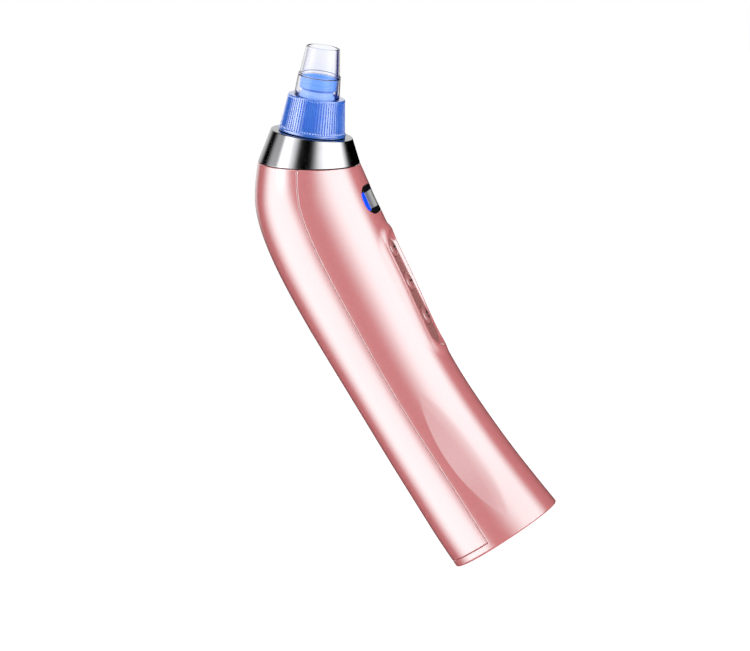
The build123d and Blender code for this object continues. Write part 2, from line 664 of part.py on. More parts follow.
GLYPH_DEPTH = 0.25
stroke = 0.55
for name, y in button_places.items():
    centre = panel().origin + panel().y_dir * y
    flange_face = ISLAND_BACK - 0.12
    profile = [
        (0, BUTTON_STEM_END),
        (PLUNGER_R, BUTTON_STEM_END),
        (PLUNGER_R, flange_face - BUTTON_FLANGE),
        (BUTTON_FLANGE_R, flange_face - BUTTON_FLANGE),
        (BUTTON_FLANGE_R, flange_face),
        (BUTTON_R, flange_face),
        (BUTTON_R, BUTTON_PROUD - 0.55),
        (BUTTON_R - 0.3, BUTTON_PROUD - 0.28),
        (BUTTON_R - 1.3, BUTTON_PROUD - 0.06),
        (0, BUTTON_PROUD),
    ]
    spot = Plane(origin=centre, x_dir=(0, 1, 0), z_dir=panel().z_dir)
    cap = turned(spot, profile)
    with BuildPart() as button:
        add(cap)
        with BuildSketch(spot.offset(BUTTON_PROUD)):
            if name == "power":
                Circle(1.35)
                Circle(1.35 - stroke, mode=Mode.SUBTRACT)
                with Locations((0, 1.3)):
                    Rectangle(1.3, 1.5, mode=Mode.SUBTRACT)
                with Locations((0, 1.1)):
                    Rectangle(stroke, 1.6)
            else:
                Rectangle(2.9, stroke)
            if name == "level_up":
                Rectangle(stroke, 2.9)
        extrude(amount=-GLYPH_DEPTH, mode=Mode.SUBTRACT)
    save(button.part, f"{name}_button")
    save(bar(spot.offset(SWITCH_TOP - 0.75), PLUNGER_R, 1.4), f"{name}_plunger")

with BuildPart() as switch_bodies:
    with BuildSketch(panel(PCB_FRONT)):
        with Locations(*button_centres):
            RectangleRounded(SWITCH_SIZE, SWITCH_SIZE, 0.4)
    extrude(amount=SWITCH_TOP - PCB_FRONT)
    with BuildSketch(panel(SWITCH_TOP)):
        with Locations(*button_centres):
            Circle(PLUNGER_R + FIT)
    extrude(amount=-1.4, mode=Mode.SUBTRACT)

with BuildPart() as main_pcb:
    with BuildSketch(panel(pcb_back)):
        with Locations((0, (PCB_LOW + PCB_HIGH) / 2)):
            RectangleRounded(PCB_WIDTH, PCB_HIGH - PCB_LOW, 1.0)
        with Locations(*post_centres):
            Circle(SCREW_R + 0.1, mode=Mode.SUBTRACT)
    extrude(amount=PCB_THICK - 0.01)

component_places = [
    (-4.5, 24.8, 4.0, 3.0, 1.0),
    (4.0, 25.5, 5.0, 5.0, 0.9),
    (5.6, -3.5, 2.6, 3.4, 1.2),
    (-5.6, -3.5, 2.6, 3.4, 1.2),
    (5.2, -17.5, 3.2, 2.4, 1.0),
    (-5.2, -17.5, 3.2, 2.4, 1.0),
    (0.0, -25.4, 8.0, 3.4, 1.9),
]
with BuildPart() as pcb_components:
    for x, y, width, height, thick in component_places:
        with BuildSketch(panel(PCB_FRONT)):
            with Locations((x, y)):
                Rectangle(width, height)
        extrude(amount=thick)

# ---- battery, cradle, tabs and charging socket -------------------------------------
battery_base = Plane.XY.offset(BATTERY_LOW)
battery_base = battery_base.shift_origin((BATTERY_X, 0, BATTERY_LOW))
battery_cell = turned(
    battery_base,
    [
        (0, 0),
        (BATTERY_R - 0.4, 0),
        (BATTERY_R, 0.4),
        (BATTERY_R, BATTERY_TOP - BATTERY_LOW - 1.4),
        (BATTERY_R - 0.6, BATTERY_TOP - BATTERY_LOW - 0.8),
        (2.6, BATTERY_TOP - BATTERY_LOW - 0.8),
        (2.6, BATTERY_TOP - BATTERY_LOW),
        (0, BATTERY_TOP - BATTERY_LOW),
    ],
)
cradle_in, cradle_out = BATTERY_R + FIT, BATTERY_R + 1.35
floor_low, stop_top = BATTERY_LOW - 1.6, BATTERY_TOP + 2.7
with BuildPart() as battery_cradle:
    with BuildSketch(Plane.XY.offset(floor_low)):
        with Locations((BATTERY_X, 0)):
            Circle(cradle_out)
    extrude(amount=stop_top - floor_low)
    with BuildSketch(Plane.XY.offset(BATTERY_LOW - 0.6)):
        with Locations((BATTERY_X, 0)):
            Circle(cradle_in)
    extrude(amount=BATTERY_TOP - BATTERY_LOW + 2.2, mode=Mode.SUBTRACT)
    with BuildSketch(Plane.XY.offset(floor_low)):
        with Locations((BATTERY_X + cradle_out + 3.2, 0)):
            Rectangle(2 * cradle_out, 4 * cradle_out)
    extrude(amount=stop_top - floor_low, mode=Mode.SUBTRACT)
    back_centre = (CRADLE_BACK_X + strap_ear / 2, 0, 4.6)
    with Locations(back_centre):
        Box(strap_ear, 9.0, 60.2, align=(Align.CENTER, Align.CENTER, Align.MIN))
    with Locations(*[(CRADLE_BACK_X, 0, z) for z in CRADLE_SCREW_Z]):
        Cylinder(SCREW_R + 0.1, 8, rotation=(0, 90, 0), mode=Mode.SUBTRACT)
battery_foam_pad = bar(Plane(origin=(BATTERY_X, 0, BATTERY_TOP + 0.4)), 6.0, 1.15)
with BuildPart() as battery_tabs:
    with Locations((BATTERY_X + 2.2, 0, BATTERY_TOP + 0.03)):
        Box(9.0, 5.0, 0.3, align=(Align.CENTER, Align.CENTER, Align.MIN))
    with Locations((BATTERY_X + 3.2, 0, BATTERY_LOW - 0.35)):
        Box(11.0, 5.0, 0.3, align=(Align.CENTER, Align.CENTER, Align.MIN))

with BuildPart() as charging_socket:
    with BuildSketch(Plane.XY.offset(BASE_PLATE_LOW + 0.2)):
        with Locations((SOCKET_X, 0)):
            RectangleRounded(USB_DEPTH, USB_WIDTH, 0.9)
            RectangleRounded(USB_DEPTH - 0.6, USB_WIDTH - 0.6, 0.6, mode=Mode.SUBTRACT)
    extrude(amount=USB_LENGTH)
    with BuildSketch(Plane.XY.offset(BASE_PLATE_LOW + 1.0)):
        with Locations((SOCKET_X, 0)):
            Rectangle(0.7, USB_WIDTH - 2.2)
    extrude(amount=USB_LENGTH - 0.8)
    with BuildSketch(Plane.XY.offset(BASE_PLATE_LOW + USB_LENGTH - 0.6)):
        with Locations((SOCKET_X, 0)):
            RectangleRounded(USB_DEPTH, USB_WIDTH, 0.9)
    extrude(amount=0.8)
board_x = SOCKET_X + USB_DEPTH / 2 + 0.02
with BuildPart() as charging_board:
    with Locations((board_x + BOARD_THICK / 2, 0, BOARD_LOW)):
        Box(
            BOARD_THICK,
            BOARD_WIDTH,
            BOARD_TOP - BOARD_LOW,
            align=(Align.CENTER, Align.CENTER, Align.MIN),
        )
    with Locations((board_x + BOARD_THICK + 0.5, 3.0, 12.0), (board_x + BOARD_THICK + 0.5, -3.5, 9.0)):
        Box(1.0, 3.0, 3.0)

# ---- leads -------------------------------------------------------------------------
board_lead_x = board_x + BOARD_THICK / 2
pcb_foot = panel((PCB_FRONT + pcb_back) / 2).origin + panel().y_dir * (PCB_LOW - 0.2)
lead_x, lead_top = pcb_foot.X, pcb_foot.Z
charge_leads = [
    lead([(board_lead_x, y, BOARD_TOP + 0.1), (lead_x, y, 40), (lead_x, y, lead_top)], 20)
    for y in (-2.0, 2.0)
]
upper_lead = lead(
    [(0.4, 1.8, BATTERY_TOP + 0.7), (4.4, 4.6, 60.0), (lead_x, 4.6, 60.0), (lead_x, 4.6, lead_top)],
    1.6,
)
lower_lead = lead(
    [
        (2.9, -1.8, BATTERY_LOW - 0.2),
        (4.6, -4.6, BATTERY_LOW),
        (4.6, -4.6, 60.0),
        (lead_x, -4.6, 60.0),
        (lead_x, -4.6, lead_top),
    ],
    1.2,
)
motor_wires = [
    lead([(-2.0, y, 65.3), (-2.0, y, 62.6), (lead_x, y, 62.6), (lead_x, y, lead_top)], 1.6)
    for y in (-7.0, 7.0)
]

# ---- motor -------------------------------------------------------------------------
motor_can = turned(
    pump(),
    [
        (MOTOR_R - MOTOR_WALL, MOTOR_LOW),
        (MOTOR_R, MOTOR_LOW),
        (MOTOR_R, MOTOR_TOP - 0.8),
        (MOTOR_R - 0.8, MOTOR_TOP),
        (4.0, MOTOR_TOP),
        (4.0, HEAD_LOW),
        (SHAFT_R + FIT, HEAD_LOW),
        (SHAFT_R + FIT, MOTOR_TOP - MOTOR_WALL),
        (MOTOR_R - MOTOR_WALL, MOTOR_TOP - MOTOR_WALL),
    ],
)
motor_end_cap = turned(
    pump(),
    [
        (SHAFT_R + FIT, 0),
        (MOTOR_R - 0.4, 0),
        (MOTOR_R, 0.4),
        (MOTOR_R, MOTOR_LOW - 0.01),
        (MOTOR_R - MOTOR_WALL - FIT, MOTOR_LOW - 0.01),
        (MOTOR_R - MOTOR_WALL - FIT, MOTOR_LOW + 1.1),
        (SHAFT_R + FIT, MOTOR_LOW + 1.1),
    ],
)
magnet_out, magnet_in = MOTOR_R - MOTOR_WALL - 0.01, 9.3
with BuildPart() as motor_magnets:
    with BuildSketch(pump(8)):
        Circle(magnet_out)
        Circle(magnet_in, mode=Mode.SUBTRACT)
        Rectangle(2 * MOTOR_R, 6.0, mode=Mode.SUBTRACT)
    extrude(amount=18)
ARMATURE_R = 8.6
with BuildPart() as motor_armature:
    with BuildSketch(pump(9)):
        Circle(ARMATURE_R)
        with PolarLocations(6.3, 3):
            Circle(1.9, mode=Mode.SUBTRACT)
        with PolarLocations(8.3, 3):
            Rectangle(2.2, 1.2, mode=Mode.SUBTRACT)
        Circle(SHAFT_R + SCREW_FIT, mode=Mode.SUBTRACT)
    extrude(amount=15)
motor_commutator = ring(pump(4.2), 3.4, SHAFT_R + SCREW_FIT, 4.2)
motor_shaft = bar(pump(SHAFT_LOW), SHAFT_R, SHAFT_TOP - SHAFT_LOW)
with BuildPart() as motor_brushes:
    with BuildSketch(pump(MOTOR_LOW + 1.13)):
        with Locations((0, 5.5), (0, -5.5)):
            Rectangle(2.4, 4.0)
    extrude(amount=3.2)

# ---- diaphragm pump ------------------------------------------------------------------
cup_centres = [
    (CUP_CIRCLE_R * cos(radians(a)), CUP_CIRCLE_R * sin(radians(a))) for a in (0, 120, 240)
]
pump_screw_points = [
    (PUMP_SCREW_CIRCLE_R * cos(radians(a)), PUMP_SCREW_CIRCLE_R * sin(radians(a)))
    for a in (60, 180, 300)
]
WHEEL_R, WHEEL_LOW, WHEEL_TOP = 5.0, 34.8, 39.0
PIN_R, PIN_TOP, PIN_APEX, PIN_OFFSET = 0.9, 42.7, 53.0, 2.8
pin_foot = pump(WHEEL_LOW + 1.4).origin + pump().x_dir * PIN_OFFSET
pin_apex = pump(PIN_APEX).origin
pin_plane = Plane(origin=pin_foot, z_dir=(pin_apex - pin_foot).normalized())
pin_length = PIN_TOP - WHEEL_LOW - 1.4
pin_hole = bar(pin_plane, PIN_R + 0.01, pin_length)
with BuildPart() as eccentric_wheel:
    with BuildSketch(pump(WHEEL_LOW)):
        Circle(WHEEL_R)
    extrude(amount=WHEEL_TOP - WHEEL_LOW)
    with BuildSketch(pump(WHEEL_LOW)):
        Circle(SHAFT_R + 0.01)
    extrude(amount=SHAFT_TOP - WHEEL_LOW + 0.05, mode=Mode.SUBTRACT)
    add(pin_hole, mode=Mode.SUBTRACT)
drive_pin = bar(pin_plane, PIN_R, pin_length)

with BuildPart() as pump_body:
    with BuildSketch(pump(HEAD_LOW + 0.01)):
        Circle(HEAD_R)
    extrude(amount=SEAT_LOW - HEAD_LOW - 0.02)
    with BuildSketch(pump(HEAD_FLOOR)):
        Circle(HEAD_BORE_R)
    extrude(amount=SEAT_LOW - HEAD_FLOOR, mode=Mode.SUBTRACT)
    with BuildSketch(pump(HEAD_LOW)):
        Circle(4.2)
    extrude(amount=4, mode=Mode.SUBTRACT)
    with BuildSketch(pump(SEAT_LOW)):
        with Locations(*pump_screw_points):
            Circle(PUMP_SCREW_R + SCREW_FIT)
    extrude(amount=-6, mode=Mode.SUBTRACT)

ROCKER_LOW, ROCKER_TOP, ROCKER_R = 41.5, 43.1, 9.6
rocker = turned(
    pump(),
    [
        (3.25, ROCKER_LOW - 1.0),
        (4.2, ROCKER_LOW - 1.0),
        (4.2, ROCKER_LOW),
        (ROCKER_R, ROCKER_LOW),
        (ROCKER_R, ROCKER_TOP),
        (3.0, ROCKER_TOP),
    ],
)


def head_plate(low, high, holes, hole_r, screw_gap=0.1):
    """A round plate of the pump head with holes at the cups and at the screws."""
    with BuildPart() as plate:
        with BuildSketch(pump(low)):
            Circle(HEAD_R)
            with Locations(*holes):
                Circle(hole_r, mode=Mode.SUBTRACT)
            with Locations(*pump_screw_points):
                Circle(PUMP_SCREW_R + screw_gap, mode=Mode.SUBTRACT)
        extrude(amount=high - low - 0.01)
    return plate.part


cup_seat = head_plate(SEAT_LOW, SHEET_LOW, cup_centres, CUP_R + 0.2)
sheet = head_plate(SHEET_LOW, PLATE_LOW, cup_centres, CUP_R - CUP_WALL)
with BuildPart() as diaphragm:
    add(sheet)
    with BuildSketch(pump(CUP_LOW)):
        with Locations(*cup_centres):
            Circle(CUP_R)
    extrude(amount=SHEET_LOW - CUP_LOW + 0.4)
    with BuildSketch(pump(CUP_LOW + 0.8)):
        with Locations(*cup_centres):
            Circle(CUP_R - CUP_WALL)
    extrude(amount=PLATE_LOW - CUP_LOW, mode=Mode.SUBTRACT)
valve_plate = head_plate(PLATE_LOW, COVER_LOW, cup_centres, 0.9)
cover_disc = head_plate(COVER_LOW, COVER_TOP, cup_centres, 1.2)
with BuildPart() as pump_cover:
    add(cover_disc)
    with BuildSketch(pump(COVER_TOP - 1.2)):
        Circle(8.4)
    extrude(amount=1.19)
    with BuildSketch(pump(COVER_TOP - 1.2)):
        Circle(NIPPLE_R)
    extrude(amount=NIPPLE_TOP - COVER_TOP + 1.2)
    with BuildSketch(pump(COVER_LOW)):
        Circle(AIR_R)
    extrude(amount=NIPPLE_TOP - COVER_LOW, mode=Mode.SUBTRACT)
pump_screw_list = []
for x, y in pump_screw_points:
    seat = pump(COVER_TOP)
    seat = Plane(
        origin=seat.origin + seat.x_dir * x + seat.y_dir * y, x_dir=seat.x_dir, z_dir=seat.z_dir
    )
    pump_screw_list.append(screw(seat, COVER_TOP - SEAT_LOW + 5, PUMP_SCREW_R))
with BuildPart() as pump_screws:
    add(pump_screw_list)

pump_damper_ring = ring(pump(6), DAMPER_R, MOTOR_R + 0.01, 22)
strap_in, strap_out = DAMPER_R + 0.02, DAMPER_R + 1.3
with BuildPart() as pump_strap:
    with BuildSketch(pump(STRAP_LOW)):
        Circle(strap_out)
        with Locations((strap_ear / 2, 0)):
            Rectangle(strap_ear, 2 * (STRAP_SCREW_Y + STRAP_EAR))
        Circle(strap_in, mode=Mode.SUBTRACT)
        with Locations((-10 + 0.01, 0)):
            Rectangle(20, 50, mode=Mode.SUBTRACT)
    extrude(amount=STRAP_TOP - STRAP_LOW)
    with Locations(*[backward(pump(strap_middle), 0, s * STRAP_SCREW_Y) for s in (-1, 1)]):
        Cylinder(SCREW_R + 0.1, 8, mode=Mode.SUBTRACT)

# ---- air hose from the pump to the nozzle -------------------------------------------
with BuildPart() as air_hose:
    with BuildLine() as hose_path:
        start, end = pump(HOSE_LOW).origin, nozzle(HOSE_END).origin
        up, out = pump().z_dir, nozzle().z_dir
        turn = up.X * out.Z - up.Z * out.X
        reach = ((end.X - start.X) * out.Z - (end.Z - start.Z) * out.X) / turn
        FilletPolyline(start, start + up * reach, end, radius=HOSE_BEND_R)
    with BuildSketch(pump(HOSE_LOW)):
        Circle(HOSE_R)
        Circle(NIPPLE_R + 0.02, mode=Mode.SUBTRACT)
    sweep()

# ---- the remaining nodes --------------------------------------------------------------
save(front_housing.part, "front_housing")
save(rear_cover.part, "rear_cover")
save(base_plate.part, "base_plate")
save(case_screws.part, "case_screws")
save(chrome_collar.part, "chrome_collar")
save(nozzle_port.part, "nozzle_port")
save(nozzle_o_ring.part, "nozzle_o_ring")
save(filter_sponge, "filter_sponge")
save(nozzle_screws.part, "nozzle_screws")
save(probe_base.part, "probe_base")
save(suction_tip.part, "suction_tip")
save(display_bezel.part, "display_bezel")
save(display_glass.part, "display_glass")
save(display_light_guides.part, "display_light_guides")
save(lcd_module.part, "lcd_module")
save(display_holder.part, "display_holder")
save(button_panel.part, "button_panel")
save(switch_bodies.part, "switch_bodies")
save(main_pcb.part, "main_pcb")
save(pcb_components.part, "pcb_components")
save(battery_cell, "battery_cell")
save(battery_cradle.part, "battery_cradle")
save(battery_foam_pad, "battery_foam_pad")
save(battery_tabs.part, "battery_tabs")
save(charging_socket.part, "charging_socket")
save(charging_board.part, "charging_board")
save(Compound(children=charge_leads), "charge_leads")
save(Compound(children=[upper_lead, lower_lead]), "battery_leads")
save(Compound(children=motor_wires), "motor_leads")
save(motor_can, "motor_can")
save(motor_end_cap, "motor_end_cap")
save(motor_magnets.part, "motor_magnets")
save(motor_armature.part, "motor_armature")
save(motor_commutator, "motor_commutator")
save(motor_shaft, "motor_shaft")
save(motor_brushes.part, "motor_brushes")
save(eccentric_wheel.part, "eccentric_wheel")
save(drive_pin, "drive_pin")
save(pump_body.part, "pump_body")
save(rocker, "rocker")
save(cup_seat, "cup_seat")
save(diaphragm.part, "diaphragm")
save(valve_plate, "valve_plate")
save(pump_cover.part, "pump_cover")
save(pump_screws.part, "pump_screws")
save(pump_damper_ring, "pump_damper_ring")
save(pump_strap.part, "pump_strap")
save(air_hose.part, "air_hose")
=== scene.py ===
"""Looks of the handheld pore vacuum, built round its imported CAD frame. Lengths inside the
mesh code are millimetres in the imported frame; +X is the front with the display and buttons."""
import json
import math

import bmesh
import bpy
import numpy as np
from mathutils import Matrix, Vector
from mathutils.geometry import delaunay_2d_cdt


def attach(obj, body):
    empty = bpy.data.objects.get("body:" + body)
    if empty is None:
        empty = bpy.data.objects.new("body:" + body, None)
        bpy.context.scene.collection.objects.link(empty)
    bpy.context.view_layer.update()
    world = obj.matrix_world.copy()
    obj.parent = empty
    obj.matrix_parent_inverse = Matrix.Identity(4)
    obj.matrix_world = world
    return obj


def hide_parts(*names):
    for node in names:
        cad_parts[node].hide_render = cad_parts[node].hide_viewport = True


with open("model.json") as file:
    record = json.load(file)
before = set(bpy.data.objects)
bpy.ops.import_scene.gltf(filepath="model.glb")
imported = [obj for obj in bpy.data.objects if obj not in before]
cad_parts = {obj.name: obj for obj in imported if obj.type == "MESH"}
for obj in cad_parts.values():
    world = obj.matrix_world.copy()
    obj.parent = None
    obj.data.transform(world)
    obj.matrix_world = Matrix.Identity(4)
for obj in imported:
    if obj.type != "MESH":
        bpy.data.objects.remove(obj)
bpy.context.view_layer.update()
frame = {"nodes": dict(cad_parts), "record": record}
MM = 0.001

# ---- camera
VIEW_AZIMUTH, VIEW_ELEVATION, VIEW_ROLL = math.radians(17.0), math.radians(1.8), math.radians(33.5)
VIEW_RIGHT = Vector((math.cos(VIEW_AZIMUTH), math.sin(VIEW_AZIMUTH), 0))
VIEW_LEVEL = Vector((math.sin(VIEW_AZIMUTH), -math.cos(VIEW_AZIMUTH), 0))  # toward the camera
VIEW_DISTANCE = 1.55
TARGET_ACROSS, TARGET_UP = 2.0 * MM, 94.9 * MM
VIEW_WIDTH = 288.75 * MM
SENSOR_WIDTH = 36.0
CLIP_NEAR, CLIP_FAR = 0.05, 20.0


def make_camera():
    """A long lens, turned round the view axis so that the handset leans over to the left."""
    back = VIEW_LEVEL * math.cos(VIEW_ELEVATION) + Vector((0, 0, math.sin(VIEW_ELEVATION)))
    up = back.cross(VIEW_RIGHT)
    target = VIEW_RIGHT * TARGET_ACROSS + up * TARGET_UP
    rolled_right = VIEW_RIGHT * math.cos(VIEW_ROLL) - up * math.sin(VIEW_ROLL)
    rolled_up = VIEW_RIGHT * math.sin(VIEW_ROLL) + up * math.cos(VIEW_ROLL)
    data = bpy.data.cameras.new("camera")
    data.sensor_width = SENSOR_WIDTH
    data.lens = SENSOR_WIDTH * VIEW_DISTANCE / VIEW_WIDTH
    data.clip_start, data.clip_end = CLIP_NEAR, CLIP_FAR
    camera = bpy.data.objects.new("camera", data)
    rotation = Matrix((rolled_right, rolled_up, back)).transposed()
    camera.matrix_world = Matrix.Translation(target + back * VIEW_DISTANCE) @ rotation.to_4x4()
    bpy.context.scene.collection.objects.link(camera)
    bpy.context.scene.camera = camera


# ---- materials
NOISE_DETAIL, NOISE_RANGE = 3.0, (0.35, 0.65)
SPAN_ENDS = ("From Min", "From Max", "To Min", "To Max")
BUMP_DISTANCE = 0.1 * MM
SECOND_SHADE = 0.93  # of the first colour, where a material names no second one


class Graph:
    """Short helpers over a material's node tree."""

    def __init__(self, tree):
        self.tree = tree
        self.nodes, self.links = tree.nodes, tree.links

    def add(self, kind, **settings):
        node = self.nodes.new(kind)
        for key, value in settings.items():
            setattr(node, key, value)
        return node

    def link(self, source, target):
        self.links.new(source, target)

    def place(self):
        """The shaded point in the part's own coordinates."""
        return self.add("ShaderNodeTexCoord").outputs["Object"]

    def noise(self, scale):
        noise = self.add("ShaderNodeTexNoise")
        noise.inputs["Scale"].default_value = scale
        noise.inputs["Detail"].default_value = NOISE_DETAIL
        self.link(self.place(), noise.inputs["Vector"])
        return noise.outputs["Fac"]

    def math(self, operation, first, second=None):
        node = self.add("ShaderNodeMath", operation=operation)
        self.link(first, node.inputs[0])
        if isinstance(second, float):
            node.inputs[1].default_value = second
        elif second is not None:
            self.link(second, node.inputs[1])
        return node.outputs[0]

    def toward(self, vector, direction):
        """How far a vector reaches along a direction."""
        dot = self.add("ShaderNodeVectorMath", operation="DOT_PRODUCT")
        dot.inputs[1].default_value = direction
        self.link(vector, dot.inputs[0])
        return dot.outputs["Value"]

    def span(self, value, start, end, low=0.0, high=1.0, kind="LINEAR"):
        """The value's start to end carried to low to high."""
        node = self.add("ShaderNodeMapRange", interpolation_type=kind)
        for name, number in zip(SPAN_ENDS, (start, end, low, high)):
            node.inputs[name].default_value = number
        self.link(value, node.inputs["Value"])
        return node.outputs["Result"]

    def step(self, value, start, end, low=0.0, high=1.0):
        return self.span(value, start, end, low, high, "SMOOTHSTEP")

    def between(self, value, first, second):
        mix = self.add("ShaderNodeMix", data_type="RGBA")
        mix.inputs[6].default_value = (*first, 1)
        mix.inputs[7].default_value = (*second, 1)
        self.link(value, mix.inputs[0])
        return mix.outputs[2]


def material(
    name,
    colour,
    other=None,
    rough=(0.4, 0.5),
    grain=900,
    bump=0.05,
    bump_grain=None,
    **sockets,
):
    """A Principled material whose colour, roughness and bump follow fine noise."""
    mat = bpy.data.materials.new(name)
    mat.use_nodes = True
    graph = Graph(mat.node_tree)
    shader = graph.nodes["Principled BSDF"]
    field = graph.noise(grain)
    other = other or tuple(c * SECOND_SHADE for c in colour)
    shade = graph.between(graph.span(field, *NOISE_RANGE), colour, other)
    graph.link(shade, shader.inputs["Base Color"])
    graph.link(graph.span(field, *NOISE_RANGE, *rough), shader.inputs["Roughness"])
    if bump:
        node = graph.add("ShaderNodeBump")
        node.inputs["Strength"].default_value = bump
        node.inputs["Distance"].default_value = BUMP_DISTANCE
        graph.link(graph.noise(bump_grain or grain * 2), node.inputs["Height"])
        graph.link(node.outputs["Normal"], shader.inputs["Normal"])
    for key, value in sockets.items():
        shader.inputs[key.replace("_", " ")].default_value = value
    return mat


# display pane: a painted reflection in the pale middle and painted shade at the darker sides
PANE_PAINTED_LIGHT_MIDDLE, PANE_PAINTED_SHADE_SIDE, PANE_PAINTED_SHADE_FADE = (0.66, 0.66, 0.64), (0.20, 0.205, 0.27), 4.9 * MM
NOZZLE_X, NOZZLE_Z, NOZZLE_LEAN = 23.5, 169.8, 42.3
SKIRT_TOP, STUB_STEP, STUB_TOP = 14.4, 17.4, 21.8
# stub colours up its height; the dark one is a painted shadow under the wide band
STUB_BLUE, STUB_PAINTED_SHADOW, STUB_PALE = (0.34, 0.60, 1.0), (0.03, 0.06, 0.40), (0.80, 0.88, 1.0)
STUB_FADES = ((-0.11, STUB_PALE), (-0.06, STUB_PAINTED_SHADOW), (0.01, STUB_PAINTED_SHADOW), (0.06, STUB_BLUE))


def display_glass():
    """Grey glass with painted light: paler toward the middle as a painted reflection, darker toward the
    sides as painted shade.
    """
    mat = material(
        "display_glass_painted_light", PANE_PAINTED_SHADE_SIDE, rough=(0.08, 0.13), bump=0.002, Coat_Weight=0.8,
        Coat_Roughness=0.05,
    )
    graph = Graph(mat.node_tree)
    axes = graph.add("ShaderNodeSeparateXYZ")
    graph.link(graph.place(), axes.inputs["Vector"])
    # painted light: the pane fades from its painted pale middle to painted shade at the sides
    fade = graph.step(graph.math("ABSOLUTE", axes.outputs["Y"]), 0.0, PANE_PAINTED_SHADE_FADE)
    shade = graph.between(fade, PANE_PAINTED_LIGHT_MIDDLE, PANE_PAINTED_SHADE_SIDE)
    graph.link(shade, graph.nodes["Principled BSDF"].inputs["Base Color"])
    return mat


def stub_plastic():
    """Satin blue: clear blue on the stub's wide band, a painted shadow just under it, pale below, and a
    painted blue glow over all of it.
    """
    # the emission is a painted glow that stands in for the light the clear tip keeps off the stub
    mat = material(
        "blue_stub_painted_shadow_and_glow", STUB_BLUE, rough=(0.12, 0.2), grain=300, bump=0.01,
        Transmission_Weight=0.2, IOR=1.35, Emission_Color=(0.08, 0.34, 1.0, 1),
        Emission_Strength=0.34,
    )
    graph = Graph(mat.node_tree)
    lean = math.radians(NOZZLE_LEAN)
    axis = Vector((math.sin(lean), 0, math.cos(lean)))
    foot = axis.dot(Vector((NOZZLE_X, 0, NOZZLE_Z)))
    along = graph.toward(graph.place(), axis)
    height = graph.span(along, (foot + SKIRT_TOP) * MM, (foot + STUB_TOP) * MM)
    shade = graph.add("ShaderNodeValToRGB")
    stops = shade.color_ramp.elements
    while len(stops) < len(STUB_FADES):
        stops.new(1.0)
    step = (STUB_STEP - SKIRT_TOP) / (STUB_TOP - SKIRT_TOP)
    for stop, (past, colour) in zip(stops, STUB_FADES):
        stop.position = step + past
        stop.color = (*colour, 1)
    graph.link(height, shade.inputs["Fac"])
    graph.link(shade.outputs["Color"], graph.nodes["Principled BSDF"].inputs["Base Color"])
    return mat


